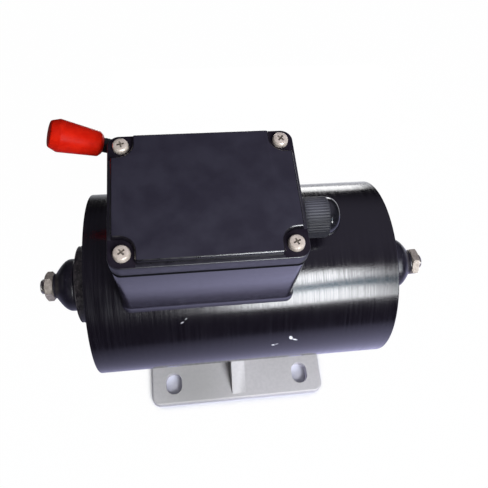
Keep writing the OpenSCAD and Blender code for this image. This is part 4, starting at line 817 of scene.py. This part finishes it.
# %% Lever grip
hub_low, hub_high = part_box("lever_hub")
pivot = (hub_low + hub_high) / 2
tilt = math.radians(24.2)
along_arm = Vector((-math.cos(tilt), 0, math.sin(tilt)))
grip_start = 23.2
grip_bm = spun([(3.15, 0), (3.9, 0), (5.2, 1.4), (6.0, 9.6), (6.75, 17.6), (5.45, 20.9), (5.0, 21.25),
                (4.3, 21.38), (0, 21.4), (0, 18.4), (3.15, 18.4)], steps=72)
rounded(grip_bm, 0.45, segments=4, above=14, chosen=lambda middle: middle.xy.length > 3.5 * MM)
grip_place = pointing(Vector((pivot.x, pivot.y, pivot.z)) + along_arm * grip_start * MM, along_arm)
finished(grip_bm, "lever_grip_moulding", "grip_red", "lever", ["lever_grip"], grip_place, sharp=50)

# %% [markdown]
# The motor stands on a sheet of pale paper. Under soft light such a sheet comes out white except close to
# the foot, where it keeps the motor's shadow. So the paper is a plain diffuse surface that the eye sees
# mixed with an even glow, and ambient occlusion takes the glow away in the narrow places by the foot.

# %% Floor seen directly
floor_bm = bmesh.new()
bmesh.ops.create_grid(floor_bm, x_segments=1, y_segments=1, size=3.0)
floor = plain_object("floor", floor_bm)
floor_material = bpy.data.materials.new("floor_white")
floor_material.use_nodes = True
floor.data.materials.append(floor_material)
tree = floor_material.node_tree
link = tree.links.new
paper = tree.nodes["Principled BSDF"]
paper.inputs["Base Color"].default_value = (0.56, 0.56, 0.65, 1)
paper.inputs["Roughness"].default_value = 0.9
paper.inputs["Specular IOR Level"].default_value = 0.1
glow = tree.nodes.new("ShaderNodeEmission")
path = tree.nodes.new("ShaderNodeLightPath")
openness = tree.nodes.new("ShaderNodeAmbientOcclusion")
openness.inputs["Distance"].default_value = 0.012
openness.samples = 8
glow_share = tree.nodes.new("ShaderNodeMath")
glow_share.operation = "MULTIPLY"
link(path.outputs["Is Camera Ray"], glow_share.inputs[0])
link(ranged(tree, openness.outputs["AO"], 0.50, 0.70, 0.0, 0.99, soft=True), glow_share.inputs[1])
seen = tree.nodes.new("ShaderNodeMixShader")
link(glow_share.outputs["Value"], seen.inputs["Fac"])
link(paper.outputs["BSDF"], seen.inputs[1])
link(glow.outputs["Emission"], seen.inputs[2])
print("floor", round(floor.dimensions.x, 1), "m wide")

# %% [markdown]
# Black paint shows mostly what it mirrors, and here that is the floor: violet on the front wall of the
# box, fading towards the left, and nearly white behind the motor. Rays that left a glossy surface see this
# glow in place of the paper. Its brightness falls off with the distance from a point right of the motor.

# %% Floor seen in reflections
sheen = tree.nodes.new("ShaderNodeEmission")
apart = tree.nodes.new("ShaderNodeSeparateXYZ")
link(object_place(tree), apart.inputs["Vector"])
sheen_tint = colour_mix(tree, ranged(tree, apart.outputs["Y"], 0.05, 0.07), (0.84, 0.85, 0.92))
sheen_tint.inputs["A"].default_value = (0.67, 0.66, 1.0, 1)
link(sheen_tint.outputs["Result"], sheen.inputs["Color"])
distance = tree.nodes.new("ShaderNodeVectorMath")
distance.operation = "DISTANCE"
distance.inputs[1].default_value = (0.14, 0.0, 0.0)
link(object_place(tree), distance.inputs[0])
link(ranged(tree, distance.outputs["Value"], 0.10, 0.38, 1.28, 0.02), sheen.inputs["Strength"])
mirrored = tree.nodes.new("ShaderNodeMixShader")
link(path.outputs["Is Glossy Ray"], mirrored.inputs["Fac"])
link(seen.outputs["Shader"], mirrored.inputs[1])
link(sheen.outputs["Emission"], mirrored.inputs[2])
link(mirrored.outputs["Shader"], tree.nodes["Material Output"].inputs["Surface"])
print("floor material has", len(tree.nodes), "nodes")

# %% [markdown]
# A softbox is a rectangle of light. One helper hangs it at an azimuth and an elevation round a point that
# it faces: azimuth 0 is in front of the motor and grows to the right. The lamps are never seen directly.

# %% A helper for softboxes
def softbox(name, azimuth, elevation, distance, width, height, watts, aim=(0, 0, 0.06), colour=(1, 1, 1)):
    lamp_data = bpy.data.lights.new(name, "AREA")
    lamp_data.color = colour
    lamp_data.shape = "RECTANGLE"
    lamp_data.size = width
    lamp_data.size_y = height
    lamp_data.energy = watts
    lamp = bpy.data.objects.new(name, lamp_data)
    az, el = math.radians(azimuth), math.radians(elevation)
    out = Vector((math.sin(az) * math.cos(el), -math.cos(az) * math.cos(el), math.sin(el)))
    lamp.location = Vector(aim) + out * distance
    lamp.rotation_euler = out.to_track_quat("Z", "Y").to_euler()
    lamp.visible_camera = False
    scene.collection.objects.link(lamp)
    return lamp

# %% [markdown]
# Two softboxes hang one above the other at the front right, so the tube shows two bright bands, and a dim
# blue one lights the gap between them. A strip behind draws the tube's far edge, and another marks its
# left end. A wide fill from above lights the foot and the screws, and is kept out of reflections.

# %% Lamps
DAYLIGHT, SKYLIGHT = (0.95, 0.97, 1.0), (0.55, 0.80, 1.0)
lamps = [
    softbox("upper_softbox", 31, 52.5, 0.8, 0.30, 0.17, 3.4, colour=DAYLIGHT),
    softbox("lower_softbox", 21, 31, 0.8, 0.42, 0.22, 5.3, colour=DAYLIGHT),
    softbox("gap_light", 27, 41.5, 0.8, 0.38, 0.12, 0.45, colour=SKYLIGHT),
    softbox("back_strip", 180, 0, 0.20, 0.214, 0.06, 0.19, aim=(0.034, 0, 0.03)),
    softbox("left_strip", -95, 10, 0.40, 0.25, 0.05, 0.03),
    softbox("overhead_fill", 0, 80, 0.9, 0.8, 0.8, 2.4),
]
lamps[-1].visible_glossy = False
print(len(lamps), "lamps,", round(sum(lamp.data.energy for lamp in lamps), 2), "W")

# %% [markdown]
# The surroundings are a dim violet ceiling that only reflections and soft light see. It starts above a
# tilted horizon and is brighter to the right. Seen directly, they are plain white like the floor.

# %% World
world = bpy.data.worlds.new("studio")
scene.world = world
world.use_nodes = True
tree = world.node_tree
link = tree.links.new
direction = tree.nodes.new("ShaderNodeTexCoord")
tilt_back = tree.nodes.new("ShaderNodeMapping")
tilt_back.inputs["Rotation"].default_value = (math.radians(28), 0, 0)
apart = tree.nodes.new("ShaderNodeSeparateXYZ")
link(direction.outputs["Generated"], tilt_back.inputs["Vector"])
link(tilt_back.outputs["Vector"], apart.inputs["Vector"])
sky = tree.nodes.new("ShaderNodeMath")
sky.operation = "MULTIPLY"
link(ranged(tree, apart.outputs["Z"], 0.35, 0.90, 0.01, 0.36, soft=True), sky.inputs[0])
link(ranged(tree, apart.outputs["X"], -0.25, 0.25, 0.25, 1.0), sky.inputs[1])
ceiling = tree.nodes["Background"]
ceiling.inputs["Color"].default_value = (0.80, 0.76, 1.0, 1)
link(sky.outputs["Value"], ceiling.inputs["Strength"])
backdrop = tree.nodes.new("ShaderNodeBackground")
backdrop.inputs["Color"].default_value = (1, 1, 1, 1)
path = tree.nodes.new("ShaderNodeLightPath")
either = tree.nodes.new("ShaderNodeMixShader")
link(path.outputs["Is Camera Ray"], either.inputs["Fac"])
link(ceiling.outputs["Background"], either.inputs[1])
link(backdrop.outputs["Background"], either.inputs[2])
link(either.outputs["Shader"], tree.nodes["World Output"].inputs["Surface"])
scene.view_settings.view_transform = "Standard"
print("world has", len(tree.nodes), "nodes")
